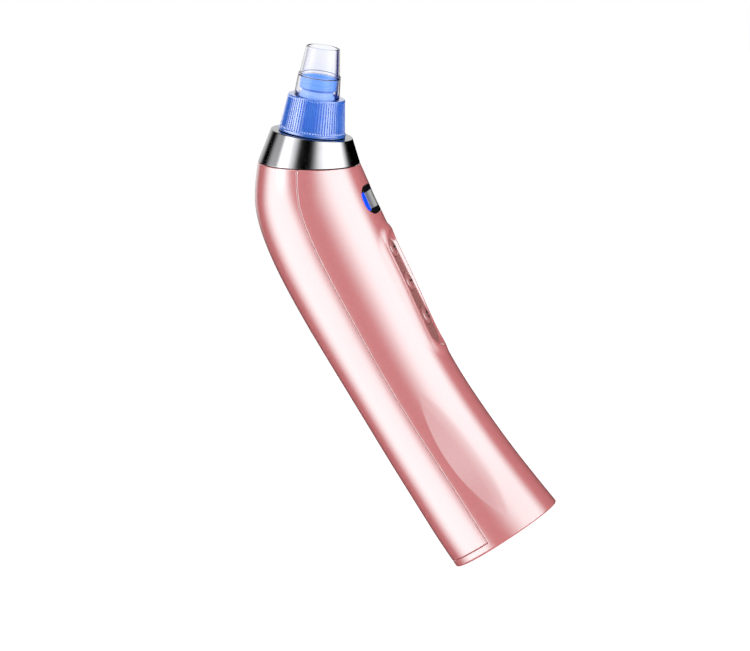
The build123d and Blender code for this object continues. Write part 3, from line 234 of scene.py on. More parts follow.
MATS = {
    "rose_housing": material(
        "rose_pearl", (0.78, 0.232, 0.24), (0.80, 0.242, 0.25), rough=(0.20, 0.24), grain=700,
        bump=0.006, bump_grain=6000, IOR=2.6, Specular_Tint=(0.42, 1.0, 1.0, 1), Coat_Weight=0.8,
        Coat_Roughness=0.08,
    ),
    # the recess floor is the housing's rose darkened: painted shade for the recess
    "rose_inlay": material(
        "rose_inlay_painted_shade", (0.44, 0.165, 0.155), (0.39, 0.145, 0.135), rough=(0.42, 0.52),
        grain=600, bump=0.06, bump_grain=3000, Metallic=0.2,
    ),
    "rose_button": material(
        "rose_button_pearl", (0.66, 0.25, 0.25), (0.62, 0.235, 0.235), rough=(0.16, 0.2), grain=500,
        bump=0.005, IOR=2.4, Specular_Tint=(0.6, 1.0, 1.0, 1), Coat_Weight=0.8, Coat_Roughness=0.06,
    ),
    "chrome": material(
        "chrome_plate", (0.35, 0.35, 0.36), (0.33, 0.33, 0.34), rough=(0.12, 0.15), grain=120,
        bump=0.003, bump_grain=1500, Metallic=1.0,
    ),
    "clear_plastic": material(
        "clear_tip", (0.965, 0.97, 1.0), (0.955, 0.96, 1.0), rough=(0.0, 0.02), grain=90, bump=0.0,
        Transmission_Weight=1.0, IOR=1.46,
    ),
    "blue_plastic": material(
        "blue_translucent", (0.085, 0.29, 1.0), (0.06, 0.24, 0.99), rough=(0.1, 0.16), grain=300,
        bump=0.01, Transmission_Weight=0.22, IOR=1.5, Coat_Weight=1.0, Coat_IOR=2.1,
        Coat_Roughness=0.12,
    ),
    "blue_stub": stub_plastic(),
    "grey_plastic": material(
        "grey_port", (0.30, 0.31, 0.34), rough=(0.3, 0.42), bump=0.04, Specular_IOR_Level=0.6
    ),
    "black_gloss": material(
        "black_gloss_window", (0.006, 0.006, 0.008), (0.01, 0.01, 0.012), rough=(0.05, 0.09),
        bump=0.003, Coat_Weight=0.6,
    ),
    "display_window": display_glass(),
    "blue_light": material(
        "blue_light_guide", (0.0, 0.045, 0.80), (0.0, 0.06, 0.90), rough=(0.15, 0.2), bump=0.005,
        Emission_Color=(0.0, 0.045, 1.0, 1), Emission_Strength=0.8,
    ),
    "lcd": material("lcd_cell", (0.40, 0.42, 0.42), rough=(0.2, 0.3)),
    "white_plastic": material("white_moulding", (0.80, 0.80, 0.78), rough=(0.42, 0.55), bump=0.08),
    "black_plastic": material("black_moulding", (0.02, 0.02, 0.022), rough=(0.4, 0.55), bump=0.1),
    "switch_plunger": material("red_plunger", (0.5, 0.05, 0.03), rough=(0.35, 0.45)),
    "circuit_board": material(
        "solder_mask", (0.01, 0.12, 0.05), (0.015, 0.18, 0.07), rough=(0.25, 0.4), grain=400
    ),
    "battery_wrap": material("battery_shrink", (0.03, 0.14, 0.42), rough=(0.2, 0.3), bump=0.03),
    "nickel": material("nickel_strip", (0.66, 0.64, 0.6), rough=(0.22, 0.34), Metallic=1.0),
    "steel": material(
        "bright_steel", (0.58, 0.58, 0.6), rough=(0.2, 0.32), grain=600, Metallic=1.0
    ),
    "lead_red": material("red_insulation", (0.5, 0.02, 0.015), rough=(0.4, 0.5)),
    "lead_black": material("black_insulation", (0.012, 0.012, 0.012), rough=(0.4, 0.5)),
    "ferrite": material("ferrite", (0.05, 0.05, 0.055), rough=(0.5, 0.7), bump=0.2),
    "copper_iron": material(
        "wound_copper", (0.45, 0.16, 0.06), (0.2, 0.2, 0.2), rough=(0.3, 0.45), Metallic=0.9
    ),
    "copper": material("copper_bar", (0.85, 0.42, 0.25), rough=(0.2, 0.3), Metallic=1.0),
    "carbon": material("graphite", (0.02, 0.02, 0.02), rough=(0.45, 0.6), bump=0.2),
    "black_rubber": material("black_rubber", (0.015, 0.015, 0.016), rough=(0.55, 0.7), bump=0.15),
    "silicone": material(
        "silicone_hose", (0.75, 0.75, 0.72), rough=(0.4, 0.5), Transmission_Weight=0.3
    ),
    "sponge": material(
        "open_foam", (0.82, 0.82, 0.8), (0.5, 0.5, 0.5), rough=(0.8, 0.95), grain=1800, bump=0.8
    ),
    "glyph_paint": material("glyph_paint", (0.03, 0.015, 0.015), rough=(0.4, 0.5), bump=0.05),
}


# ---- mesh helpers
TINY = 1e-6
CDT_MERGE = 1e-5
SHARP_ANGLE = 45.0  # where a piece without its own normals gets a crease, in degrees


def unit(vectors):
    return vectors / np.linalg.norm(vectors, axis=-1, keepdims=True)


def new_piece(name, verts, faces, slot, body, replaced=(), normals=None, look=None):
    """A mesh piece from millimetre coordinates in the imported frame, riding on a body."""
    mesh = bpy.data.meshes.new(name)
    mesh.from_pydata([tuple(v) for v in np.asarray(verts) * MM], [], [list(f) for f in faces])
    mesh.update()
    mesh.polygons.foreach_set("use_smooth", [True] * len(mesh.polygons))
    if normals is None:
        mesh.set_sharp_from_angle(angle=math.radians(SHARP_ANGLE))
    else:
        mesh.normals_split_custom_set_from_vertices([tuple(n) for n in normals])
    mesh.materials.append(MATS[look or slot])
    piece = bpy.data.objects.new(name, mesh)
    bpy.context.scene.collection.objects.link(piece)
    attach(piece, body)
    if replaced:
        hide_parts(*replaced)


class Frame:
    """A local frame: origin in millimetres, with x, y and z directions."""

    def __init__(self, origin, x_dir, z_dir):
        self.o = np.array(origin, float)
        self.x = np.array(x_dir, float)
        self.z = np.array(z_dir, float)
        self.y = np.cross(self.z, self.x)

    def turn(self, x, y, z):
        x, y, z = (np.asarray(v, float)[..., None] for v in (x, y, z))
        return x * self.x + y * self.y + z * self.z

    def at(self, x, y, z):
        return self.o + self.turn(x, y, z)

    def local(self, p):
        rel = p - self.o
        return rel @ self.x, rel @ self.y, rel @ self.z

    def circle(self, radius, height, count):
        phi = np.linspace(0, 2 * math.pi, count, endpoint=False)
        return self.at(radius * np.cos(phi), radius * np.sin(phi), np.full(count, height))


def leaning(x, z, lean):
    """A frame whose z points up and leans over to the front."""
    a = math.radians(lean)
    return Frame((x, 0, z), (math.cos(a), 0, -math.sin(a)), (math.sin(a), 0, math.cos(a)))


def facing(x, z, lean):
    """Local x runs across the front, y up it and z outward."""
    a = math.radians(lean)
    return Frame((x, 0, z), (0, 1, 0), (math.cos(a), 0, -math.sin(a)))


NOZZLE = leaning(NOZZLE_X, NOZZLE_Z, NOZZLE_LEAN)
PANEL = facing(22.6, 98.7, 7.5)
DISPLAY = facing(29.75, 136.3, 9.5)


def corner_arc(p, before, after, n_in, radius, steps):
    """The rounded corner at p, as points with normals; before and after lead away from it."""
    half = math.acos(max(-1, min(1, float(before @ after)))) / 2
    start = p + before * radius / math.tan(half)
    end = p + after * radius / math.tan(half)
    centre = p + unit(before + after) * radius / math.sin(half)
    va, vb = start - centre, end - centre
    sweep = math.atan2(va[0] * vb[1] - va[1] * vb[0], float(va @ vb))
    flip = 1 if float(va @ n_in) > 0 else -1
    arc = []
    for t in np.linspace(0, sweep, steps + 1):
        cos, sin = math.cos(t), math.sin(t)
        v = np.array((va[0] * cos - va[1] * sin, va[0] * sin + va[1] * cos))
        arc.append((*(centre + v), *(v * flip / radius)))
    return arc


def rounded(corners, steps):
    """A closed profile from (r, h, radius) corners, as points with outward normals.
    A corner of no radius is kept sharp by giving it two points."""
    out = []
    for i, (r, h, radius) in enumerate(corners):
        p = np.array((r, h), float)
        before = unit(np.array(corners[i - 1][:2], float) - p)
        after = unit(np.array(corners[(i + 1) % len(corners)][:2], float) - p)
        n_in = np.array((-before[1], before[0]))
        n_out = np.array((after[1], -after[0]))
        if radius > 0:
            out += corner_arc(p, before, after, n_in, radius, steps)
        else:
            out += [(*p, *n_in), (*p, *n_out)]
    return np.array(out)


def strip(i, j, count):
    """The quads between rings i and j of count points each."""
    turns = [(k, (k + 1) % count) for k in range(count)]
    return [(i * count + k, i * count + m, j * count + m, j * count + k) for k, m in turns]


def revolved(name, place, corners, slot, body, replaced=(), around=160, steps=6, shape=None, look=None):
    """A solid of revolution about the frame's z axis. Plain ones get true normals; a shape
    that moves the radius, as flutes do, gets smooth ones with sharp edges."""
    prof = rounded(corners, steps)
    rows = len(prof)
    ang, r = np.meshgrid(np.linspace(0, 2 * math.pi, around, endpoint=False), prof[:, 0])
    h, nr, nh = (np.repeat(prof[:, k][:, None], around, 1) for k in (1, 2, 3))
    if shape is not None:
        r = shape(r, h, ang)
    verts = place.at(r * np.cos(ang), r * np.sin(ang), h).reshape(-1, 3)
    normals = place.turn(nr * np.cos(ang), nr * np.sin(ang), nh).reshape(-1, 3)
    faces = []
    for i in range(rows):
        j = (i + 1) % rows
        on_axis = prof[i, 0] < TINY and prof[j, 0] < TINY
        if not on_axis and not np.allclose(prof[i, :2], prof[j, :2]):
            faces += strip(i, j, around)
    normals = normals if shape is None else None
    new_piece(name, verts, faces, slot, body, replaced, normals, look)


def normal_of(place, u, v, step):
    """The normals of a surface given by place(u, v), from points a step to each side."""
    along_u = place(u + step, v) - place(u - step, v)
    along_v = place(u, v + step) - place(u, v - step)
    return unit(np.cross(along_u, along_v))


def closed_loop(start, count):
    """Edges that join count points, from start on, into a ring."""
    return [(start + i, start + (i + 1) % count) for i in range(count)]


def triangulate(points, edges):
    """A constrained Delaunay mesh: its flat points, its triangles and their middles."""
    coords, _, tris, _, _, _ = delaunay_2d_cdt([Vector(p) for p in points], edges, [], 0, CDT_MERGE)
    flat = np.array([(c.x, c.y) for c in coords])
    return flat, tris, np.array([flat[list(t)].mean(0) for t in tris])


def walled(polygons, verts, normals, way):
    """The surface with a wall added at its open edges; way is each point's shift to the
    wall's far side."""
    used = {}
    for polygon in polygons:
        for a, b in zip(polygon, (*polygon[1:], polygon[0])):
            used.setdefault(frozenset((a, b)), []).append((a, b))
    border = [sides[0] for sides in used.values() if len(sides) == 1]
    wall = {}
    for v in (end for edge in border for end in edge):
        wall.setdefault(v, len(verts) + len(wall))
    faces = [tuple(p) for p in polygons] + [(b, a, wall[a], wall[b]) for a, b in border]
    ends = list(wall)
    far = verts[ends] + np.broadcast_to(way, verts.shape)[ends]
    return np.concatenate([verts, far]), faces, np.concatenate([normals, normals[ends]])


# ---- housing surface
# the housing's stations: x, z, lean in degrees and radius
STATIONS = np.array(
    [
        (0.0, 0.0, 0.0, 22.9),
        (-0.7, 12.0, 0.0, 22.4),
        (-1.2, 28.0, 0.0, 21.6),
        (-1.3, 46.0, 0.5, 21.0),
        (-0.9, 64.0, 2.5, 20.7),
        (0.4, 84.0, 4.5, 21.2),
        (2.2, 102.0, 6.5, 22.2),
        (4.1, 120.0, 8.5, 22.8),
        (6.6, 137.0, 14.5, 23.0),
        (10.2, 150.0, 25.0, 22.3),
        (16.2, 161.2, 35.4, 19.5),
    ]
)
SEAM_GAP = 0.06
GAP = SEAM_GAP / 2
UNIT = 20.0  # millimetres of the flat pattern to one radian
HALF_TURN = math.pi * UNIT
ARC = 21.5  # millimetres of the housing's girth to one radian
GAP_Q = GAP * UNIT / ARC
RIM = 3.0  # height of the front's full ring, where the rear cover stops
ROLL_SEAM, ROLL_BASE, ROLL_TOP, ROLL_WINDOW = 0.42, 0.8, 0.3, 0.3
SEAM_SET_BACK, SEAM_STRAIGHT_FROM, SEAM_CURVE = 3.4, 28.0, 1.5
PLAIN_STEP, FINE_STEP = 0.02, 0.008
WALL = 1.6


class Cubic:
    """A natural cubic spline through values at knots, for arrays of parameters."""

    def __init__(self, knots, values):
        self.k, self.v = np.asarray(knots, float), np.asarray(values, float)
        n = len(self.k)
        h = np.diff(self.k)
        a = np.zeros((n, n))
        b = np.zeros((n,) + self.v.shape[1:])
        a[0, 0] = a[-1, -1] = 1
        for i in range(1, n - 1):
            a[i, i - 1 : i + 2] = h[i - 1], 2 * (h[i - 1] + h[i]), h[i]
            up = (self.v[i + 1] - self.v[i]) / h[i]
            low = (self.v[i] - self.v[i - 1]) / h[i - 1]
            b[i] = 6 * (up - low)
        self.m = np.linalg.solve(a, b)

    def __call__(self, t):
        t = np.asarray(t, float)
        i = np.clip(np.searchsorted(self.k, t) - 1, 0, len(self.k) - 2)
        h = (self.k[i + 1] - self.k[i])[..., None]
        a = (self.k[i + 1] - t)[..., None]
        b = (t - self.k[i])[..., None]
        m0, m1, v0, v1 = self.m[i], self.m[i + 1], self.v[i], self.v[i + 1]
        curve = (m0 * a**3 + m1 * b**3) / (6 * h)
        return curve + (v0 / h - m0 * h / 6) * a + (v1 / h - m1 * h / 6) * b


def spine_through(stations):
    """A spline of x, z, the radius' parts along x and z, and the radius."""
    x, z, lean, radius = stations.T
    knots = np.concatenate([[0], np.cumsum(np.hypot(np.diff(x), np.diff(z)))])
    lean = np.radians(lean)
    return Cubic(knots, np.stack([x, z, radius * np.cos(lean), radius * np.sin(lean), radius], 1))


SPINE = spine_through(STATIONS)
TOP = SPINE.k[-1] - SEAM_GAP


def body_at(q, t):
    """The plain housing surface: q is the angle from the front times UNIT, t runs up the spine."""
    x, z, rc, rs, r = np.moveaxis(SPINE(t), -1, 0)
    a = q / UNIT
    return np.stack([x + rc * np.cos(a), r * np.sin(a), z - rs * np.cos(a)], -1)


def body_normal(q, t):
    return normal_of(body_at, q, t, PLAIN_STEP)


def seam_q(t):
    """Where the seam runs on the flat pattern: square to the front, a little behind it low down."""
    low = np.clip(1 - np.asarray(t, float) / SEAM_STRAIGHT_FROM, 0, 1)
    return UNIT * np.radians(90 + SEAM_SET_BACK * low**SEAM_CURVE)


def roll(e, radius):
    """How far a rounded edge has dropped at a distance e inside its end."""
    inner = np.clip(radius - np.maximum(e, 0), 0, radius)
    return radius - np.sqrt(np.maximum(radius**2 - inner**2, 0))


def ease(x):
    x = np.clip(x, 0, 1)
    return x * x * x * (x * (6 * x - 15) + 10)


# button island: heights by the signed distance to the rim line, in the panel's own plane
RIM_R, RIM_HALF = 7.7, 17.55
FLOOR_D, FLOOR_EASE = -2.95, 0.25
ISLAND_RISE, ISLAND_SPREAD, ISLAND_CREST = 1.05, 4.0, -0.55
ISLAND_SIDE_LOSS, ISLAND_LOW_LOSS = 0.68, 0.5
ISLAND_BEHIND, GRID_BEHIND = -12.0, -9.0


def rim_distance(across, up):
    return np.hypot(across, np.maximum(np.abs(up) - RIM_HALF, 0)) - RIM_R


def island_shift(p):
    """How far the island moves a housing point along the panel's outward direction."""
    across, up, out = PANEL.local(p)
    d = rim_distance(across, up)
    near = (out > ISLAND_BEHIND) & (d < ISLAND_SPREAD + 1)
    rise = ISLAND_RISE * (1 - ISLAND_SIDE_LOSS * np.clip(across / RIM_R, -1, 1) ** 2)
    rise = rise * (1 - ISLAND_LOW_LOSS * ease(0.5 - up / (2 * RIM_HALF + 2 * RIM_R)))
    outside = rise * (0.5 + 0.5 * np.cos(math.pi * np.clip(d / ISLAND_SPREAD, 0, 1)))
    fall = ease((ISLAND_CREST - d) / (ISLAND_CREST - FLOOR_D - FLOOR_EASE))
    inside = (1 - fall) * (out + rise) - out
    return np.where(near, np.where(d > ISLAND_CREST, outside, inside), 0.0)


# finger scoop: a flat facet whose half width, in degrees, closes to a point at both ends
SCOOP_LOW, SCOOP_HIGH = 8.0, 65.0
SCOOP_TURN_LOW, SCOOP_TURN_HIGH, SCOOP_HALF = 63.1, 67.0, 14.5
SCOOP_CRISP, SCOOP_SOFT, SCOOP_REACH = 0.05, 0.8, 1.2
SCOOP_BEFORE, SCOOP_AFTER = 0.06, 0.05  # clear of the plain points, in radians


def scoop_form(t):
    """The facet's middle and half angle at t, and how full its leaf shape is there."""
    middle, reach = (SCOOP_LOW + SCOOP_HIGH) / 2, (SCOOP_HIGH - SCOOP_LOW) / 2
    tau = np.clip((t - middle) / reach, -1, 1)
    turn = SCOOP_TURN_LOW + (SCOOP_TURN_HIGH - SCOOP_TURN_LOW) * (tau + 1) / 2
    full = 1 - tau**2
    return np.radians(turn), np.radians(SCOOP_HALF * full), full


def scoop_drop(q, t):
    """How deep the facet cuts, with a crisp rear edge and a soft front one."""
    turn, half, full = scoop_form(t)
    a = np.clip(np.abs(q) / UNIT - turn, -SCOOP_REACH, SCOOP_REACH)
    cut = SPINE(t)[..., 4] * (1 - np.cos(half) / np.cos(a))
    forward = ease(0.5 - a / np.maximum(2 * half, TINY))
    soft = full * (SCOOP_CRISP + (SCOOP_SOFT - SCOOP_CRISP) * forward)
    blend = np.maximum(soft - np.abs(cut), 0) ** 2 / np.maximum(4 * soft, TINY)
    return np.where(full > 0, np.maximum(cut, 0) + blend, 0.0)


# display window
OVAL_W, OVAL_H, OVAL_R = 17.0, 11.6, 5.2
WINDOW_BEHIND, FAR = -10.0, 99.0


def oval_distance(across, up):
    dx = np.abs(across) - (OVAL_W / 2 - OVAL_R)
    dy = np.abs(up) - (OVAL_H / 2 - OVAL_R)
    outside = np.hypot(np.maximum(dx, 0), np.maximum(dy, 0))
    return outside + np.minimum(np.maximum(dx, dy), 0) - OVAL_R


def window_distance(p):
    across, up, out = DISPLAY.local(p)
    return np.where(out > WINDOW_BEHIND, oval_distance(across, up), FAR)


def front_at(q, t):
    """The finished front housing surface."""
    p = body_at(q, t)
    side = (seam_q(t) - np.abs(q)) / UNIT * ARC - GAP
    rim = RIM - t - GAP
    corner = np.hypot(np.maximum(side, 0), np.maximum(rim, 0))
    in_ring = np.where(np.abs(q) >= seam_q(t) - GAP, rim, corner)
    drop = roll(np.where(t >= RIM - GAP, side, in_ring), ROLL_SEAM)
    drop = drop + roll(t, ROLL_BASE) + roll(TOP - t, ROLL_TOP)
    drop = drop + roll(window_distance(p), ROLL_WINDOW) + scoop_drop(q, t)
    return p - body_normal(q, t) * drop[..., None] + PANEL.z * island_shift(p)[..., None]


def rear_at(q, t):
    """The finished rear cover surface; q runs on past the seam to the back."""
    seam = seam_q(t)
    side = np.minimum(q - seam, 2 * HALF_TURN - seam - q) / UNIT * ARC - GAP
    drop = roll(side, ROLL_SEAM) + roll(TOP - t, ROLL_TOP) + roll(t - RIM - GAP, ROLL_SEAM)
    return body_at(q, t) - body_normal(q, t) * drop[..., None]


# ---- places on the flat pattern
FIND_FROM, FIND_HALVINGS = 30.0, 40


def find_t(plane, across, up):
    """Flat-pattern places whose housing points sit at (across, up) in a facing plane."""
    low, high = np.zeros_like(up) + FIND_FROM, np.zeros_like(up) + TOP
    for _ in range(FIND_HALVINGS):
        mid = (low + high) / 2
        q = UNIT * np.arcsin(np.clip(across / SPINE(mid)[..., 4], -1, 1))
        height = (body_at(q, mid) - plane.o) @ plane.y
        low, high = np.where(height < up, mid, low), np.where(height < up, high, mid)
    return q, (low + high) / 2


def rounded_ring(cx, cy, radius, count):
    """Evenly spaced points round a rectangle of half size (cx, cy) grown by a radius."""
    lengths = [2 * cy, math.pi / 2 * radius, 2 * cx, math.pi / 2 * radius] * 2
    corners = [(cx, cy), (-cx, cy), (-cx, -cy), (cx, -cy)]
    out = []
    for s in np.linspace(0, sum(lengths), count, endpoint=False):
        k = 0
        while s > lengths[k]:
            s -= lengths[k]
            k += 1
        start = k // 2 * math.pi / 2
        ox, oy = corners[k // 2]
        if k % 2:
            a = start + s / radius
            out.append((ox + radius * math.cos(a), oy + radius * math.sin(a)))
        else:
            px, py = corners[k // 2 - 1]
            x = px + (ox - px) * s / lengths[k] + radius * math.cos(start)
            y = py + (oy - py) * s / lengths[k] + radius * math.sin(start)
            out.append((x, y))
    return np.array(out)


def slot_ring(offset, count):
    """Points round the island's rim line, moved out by an offset."""
    return rounded_ring(0, RIM_HALF, RIM_R + offset, count)


def oval_ring(offset, count):
    """Points round the display window's outline, moved out by an offset."""
    return rounded_ring(OVAL_W / 2 - OVAL_R, OVAL_H / 2 - OVAL_R, OVAL_R + offset, count)


def on_housing(plane, ring):
    """A facing plane's ring of points, carried to the flat pattern."""
    return list(zip(*find_t(plane, ring[:, 0], ring[:, 1])))


# ---- front housing
# rows of points at these distances from an edge; the closest ones draw its rounding
EDGE_ROWS = np.array([0.008, 0.03, 0.07, 0.13, 0.2, 0.29, 0.42, 0.7, 1.3])
TOP_ROWS = (0.01, 0.04, 0.09, 0.16, 0.24, 0.5, 1.0)
BASE_ROWS = (0.01, 0.05, 0.12, 0.22, 0.36, 0.55, 0.8, 1.1)
RING_ROWS = (0.008, 0.03, 0.07, 0.13, 0.2, 0.29, 0.42, 0.8, 1.3)
WINDOW_ROWS = (1.3, 0.75, 0.42, 0.28, 0.2, 0.13, 0.07, 0.03, 0.008, 0.0)
ISLAND_ROWS = (4.8, 4.3, 3.9, 3.4, 3.0, 2.6, 2.0, 1.5, 1.05, 0.7, 0.4, 0.15, -0.1, -0.35, -0.6)
RECESS_ROWS = (-0.85, -1.1, -1.4, -1.7, -2.0, -2.3, -2.6, -2.8, FLOOR_D)
SCOOP_ROWS = (0.04, 0.02, 0.008, 0.0, -0.008, -0.02, -0.05)  # radians past the rear edge
SCOOP_ROW_STEP, SCOOP_END, SCOOP_FRONT, SCOOP_COUNT = 0.95, 0.6, -1.6, 12
BACK_COUNT, TOP_COUNT, BASE_COUNT = 40, 90, 181
ISLAND_COUNT, WINDOW_COUNT = 200, 150
GRID_UP, GRID_ACROSS, GRID_REACH, GRID_CLEAR = 2.0, 1.4, 29.5, 1.8
LOW_ROWS, LOW_REACH, LOW_COUNT, LOW_LIMIT = (1.6, 2.3), 60.0, 110, 31.0
ISLAND_CLEAR, WINDOW_CLEAR, ON_EDGE = 1.2, 2.0, 0.004


def front_edge(t):
    """The front's own side of the seam."""
    return seam_q(t) - GAP_Q


def front_outline():
    """The front's flat pattern: a full ring at the base, then up the seams to the top."""
    rise = np.concatenate([[RIM - GAP], np.arange(RIM + 1.0, TOP - 0.5, 1.0), [TOP]])
    side = [(front_edge(t), t) for t in rise]
    back = np.linspace(HALF_TURN, side[0][0], BACK_COUNT)[:-1]
    top = np.linspace(side[-1][0], -side[-1][0], TOP_COUNT)[1:-1]
    outline = [(q, 0.0) for q in np.linspace(-HALF_TURN, HALF_TURN, BASE_COUNT)]
    outline += [(q, RIM - GAP) for q in back]
    outline += side
    outline += [(q, TOP) for q in top]
    outline += [(-q, t) for q, t in side[::-1]]
    outline += [(-q, RIM - GAP) for q in back[::-1]]
    return outline


def front_edge_rows():
    """Rows of points close to the seams, the top, the base and the ring's upper edge."""
    points = []
    for e in EDGE_ROWS * UNIT / ARC:
        for t in np.arange(RIM - GAP, TOP - 0.3, 1.0):
            points += [(front_edge(t) - e, t), (e - front_edge(t), t)]
    reach = seam_q(TOP) - 0.8
    for e in TOP_ROWS:
        points += [(q, TOP - e) for q in np.linspace(-reach, reach, TOP_COUNT)]
    for e in BASE_ROWS:
        points += [(q, e) for q in np.linspace(-HALF_TURN, HALF_TURN, BASE_COUNT)]
    back = np.linspace(HALF_TURN, seam_q(RIM), BACK_COUNT)
    for e in RING_ROWS:
        points += [(q, RIM - GAP - e) for q in back] + [(-q, RIM - GAP - e) for q in back]
    low = [q for q in np.linspace(-LOW_REACH, LOW_REACH, LOW_COUNT) if abs(q) < LOW_LIMIT]
    return points + [(q, t) for t in LOW_ROWS for q in low]


def scoop_near(q, t):
    turn, half, _ = scoop_form(t)
    aside = abs(q) / UNIT - turn
    level = SCOOP_LOW - 1 < t < SCOOP_HIGH + 1
    return level and SCOOP_FRONT * half - SCOOP_BEFORE < aside < half + SCOOP_AFTER


def island_near(p):
    across, up, out = PANEL.local(p)
    return rim_distance(across, up) < ISLAND_SPREAD + ISLAND_CLEAR and out > GRID_BEHIND


def front_grid():
    """Evenly spread points, left out where finer rings and lines take over."""
    points = []
    for row, t in enumerate(np.arange(RIM + 2, TOP - 1.4, GRID_UP)):
        shift = (row % 2) * GRID_ACROSS / 2
        for q in np.arange(-GRID_REACH + shift, GRID_REACH, GRID_ACROSS):
            p = body_at(np.array(q), np.array(t))
            if abs(q) > seam_q(t) - GRID_CLEAR or island_near(p):
                continue
            if window_distance(p) >= WINDOW_CLEAR and not scoop_near(q, t):
                points.append((q, t))
    return points


def scoop_lines():
    """Rows across both scoops, close together at the crisp rear edge."""
    points = []
    for side in (-1, 1):
        for t in np.arange(SCOOP_LOW - SCOOP_END, SCOOP_HIGH + SCOOP_END + 0.1, SCOOP_ROW_STEP):
            turn, half, full = scoop_form(t)
            places = [half + e for e in SCOOP_ROWS] if full > 0 else []
            count = 4 + int(full * SCOOP_COUNT)
            places += list(np.linspace(SCOOP_FRONT * half - 0.04, half - 0.07, count))
            points += [(side * (turn + e) * UNIT, t) for e in places]
    return points


def front_pattern():
    """All the front's points on the flat pattern, and the edges its openings keep to."""
    points = front_outline()
    edges = closed_loop(0, len(points))
    points += front_edge_rows() + front_grid()
    for d in (*ISLAND_ROWS, *RECESS_ROWS):
        points += on_housing(PANEL, slot_ring(d, ISLAND_COUNT))
    edges += closed_loop(len(points) - ISLAND_COUNT, ISLAND_COUNT)
    for d in WINDOW_ROWS:
        points += on_housing(DISPLAY, oval_ring(d, WINDOW_COUNT))
    edges += closed_loop(len(points) - WINDOW_COUNT, WINDOW_COUNT)
    return points + scoop_lines(), edges


def front_is_solid(q, t):
    """Whether flat-pattern places belong to the front, outside the recess and the window."""
    p = body_at(q, t)
    across, up, out = PANEL.local(p)
    recess = (rim_distance(across, up) < FLOOR_D - ON_EDGE) & (out > GRID_BEHIND)
    inside = (t < RIM - GAP) | (np.abs(q) < front_edge(t))
    return inside & ~recess & (window_distance(p) >= -ON_EDGE)


def build_front_housing():
    """The front shell, with walls that turn in at its seams, its recess and its window."""
    flat, tris, middles = triangulate(*front_pattern())
    tris = [t for t, solid in zip(tris, front_is_solid(*middles.T)) if solid]
    q, t = flat.T
    across, up, out = PANEL.local(body_at(q, t))
    at_floor = (out > GRID_BEHIND) & (np.abs(rim_distance(across, up) - FLOOR_D) < 0.05)
    way = np.where(at_floor[:, None], -PANEL.z, -body_normal(q, t)) * WALL
    normals = normal_of(front_at, q, t, FINE_STEP)
    verts, faces, normals = walled(tris, front_at(q, t), normals, way)
    verts[:, 2] = np.maximum(verts[:, 2], 0)
    new_piece("front_shell", verts, faces, "rose_housing", "housing", ["front_housing"], normals)


# ---- rear cover
REAR_ROWS = np.array([0.0, *EDGE_ROWS[:-1]])
REAR_UP, REAR_COUNT, REAR_CLEAR, REAR_TOP_SCALE = 1.5, 70, 1.4, 1.2


def build_rear_cover():
    """The rear shell as a grid, fine at its rounded edges, with walls that turn in."""
    inner = np.arange(RIM + 2, TOP - REAR_TOP_SCALE, REAR_UP)
    rows = np.concatenate([RIM + GAP + REAR_ROWS, inner, TOP - REAR_ROWS[::-1] * REAR_TOP_SCALE])
    columns = []
    for start in seam_q(rows) + GAP_Q:
        end = 2 * HALF_TURN - start
        fine = REAR_ROWS * UNIT / ARC
        wide = np.linspace(start + REAR_CLEAR, end - REAR_CLEAR, REAR_COUNT)
        columns.append(np.concatenate([start + fine, wide, end - fine[::-1]]))
    q = np.array(columns)
    count = q.shape[1]
    t = np.repeat(rows[:, None], count, 1)
    verts = rear_at(q, t).reshape(-1, 3)
    normals = normal_of(rear_at, q, t, FINE_STEP).reshape(-1, 3)
    corners = [(i * count + j, (i + 1) * count + j) for i in range(len(rows) - 1) for j in range(count - 1)]
    quads = [(low, low + 1, high + 1, high) for low, high in corners]
    x, z = SPINE(t.ravel())[:, :2].T
    way = unit(np.stack([x, 0 * x, z], 1) - verts) * WALL
    verts, faces, normals = walled(quads, verts, normals, way)
    new_piece("rear_shell", verts, faces, "rose_housing", "housing", ["rear_cover"], normals)


# ---- collar, port, probe
CRISP, FINE, SOFT = 0.1, 0.15, 0.3  # corner radii
COLLAR_TOP_R, COLLAR_HOLE_R, COLLAR_PLATE, COLLAR_TUCK_R = 15.7, 10.0, 1.5, 17.2
COLLAR_GAP, COLLAR_LOW_ROUND, COLLAR_TOP_ROUND = 0.1, 0.18, 0.35
COLLAR_COUNT, COLLAR_STEPS, COLLAR_LIP = 256, 7, 0.02


def fillet(corner, n_a, n_b, radius):
    """Rings that turn from normal a to normal b round a corner."""
    centre = corner - (n_a + n_b) * radius / (1 + (n_a * n_b).sum(1, keepdims=True))
    turns = [unit(n_a * (1 - f) + n_b * f) for f in np.linspace(0, 1, COLLAR_STEPS + 1)]
    return [(centre + n * radius, n) for n in turns]


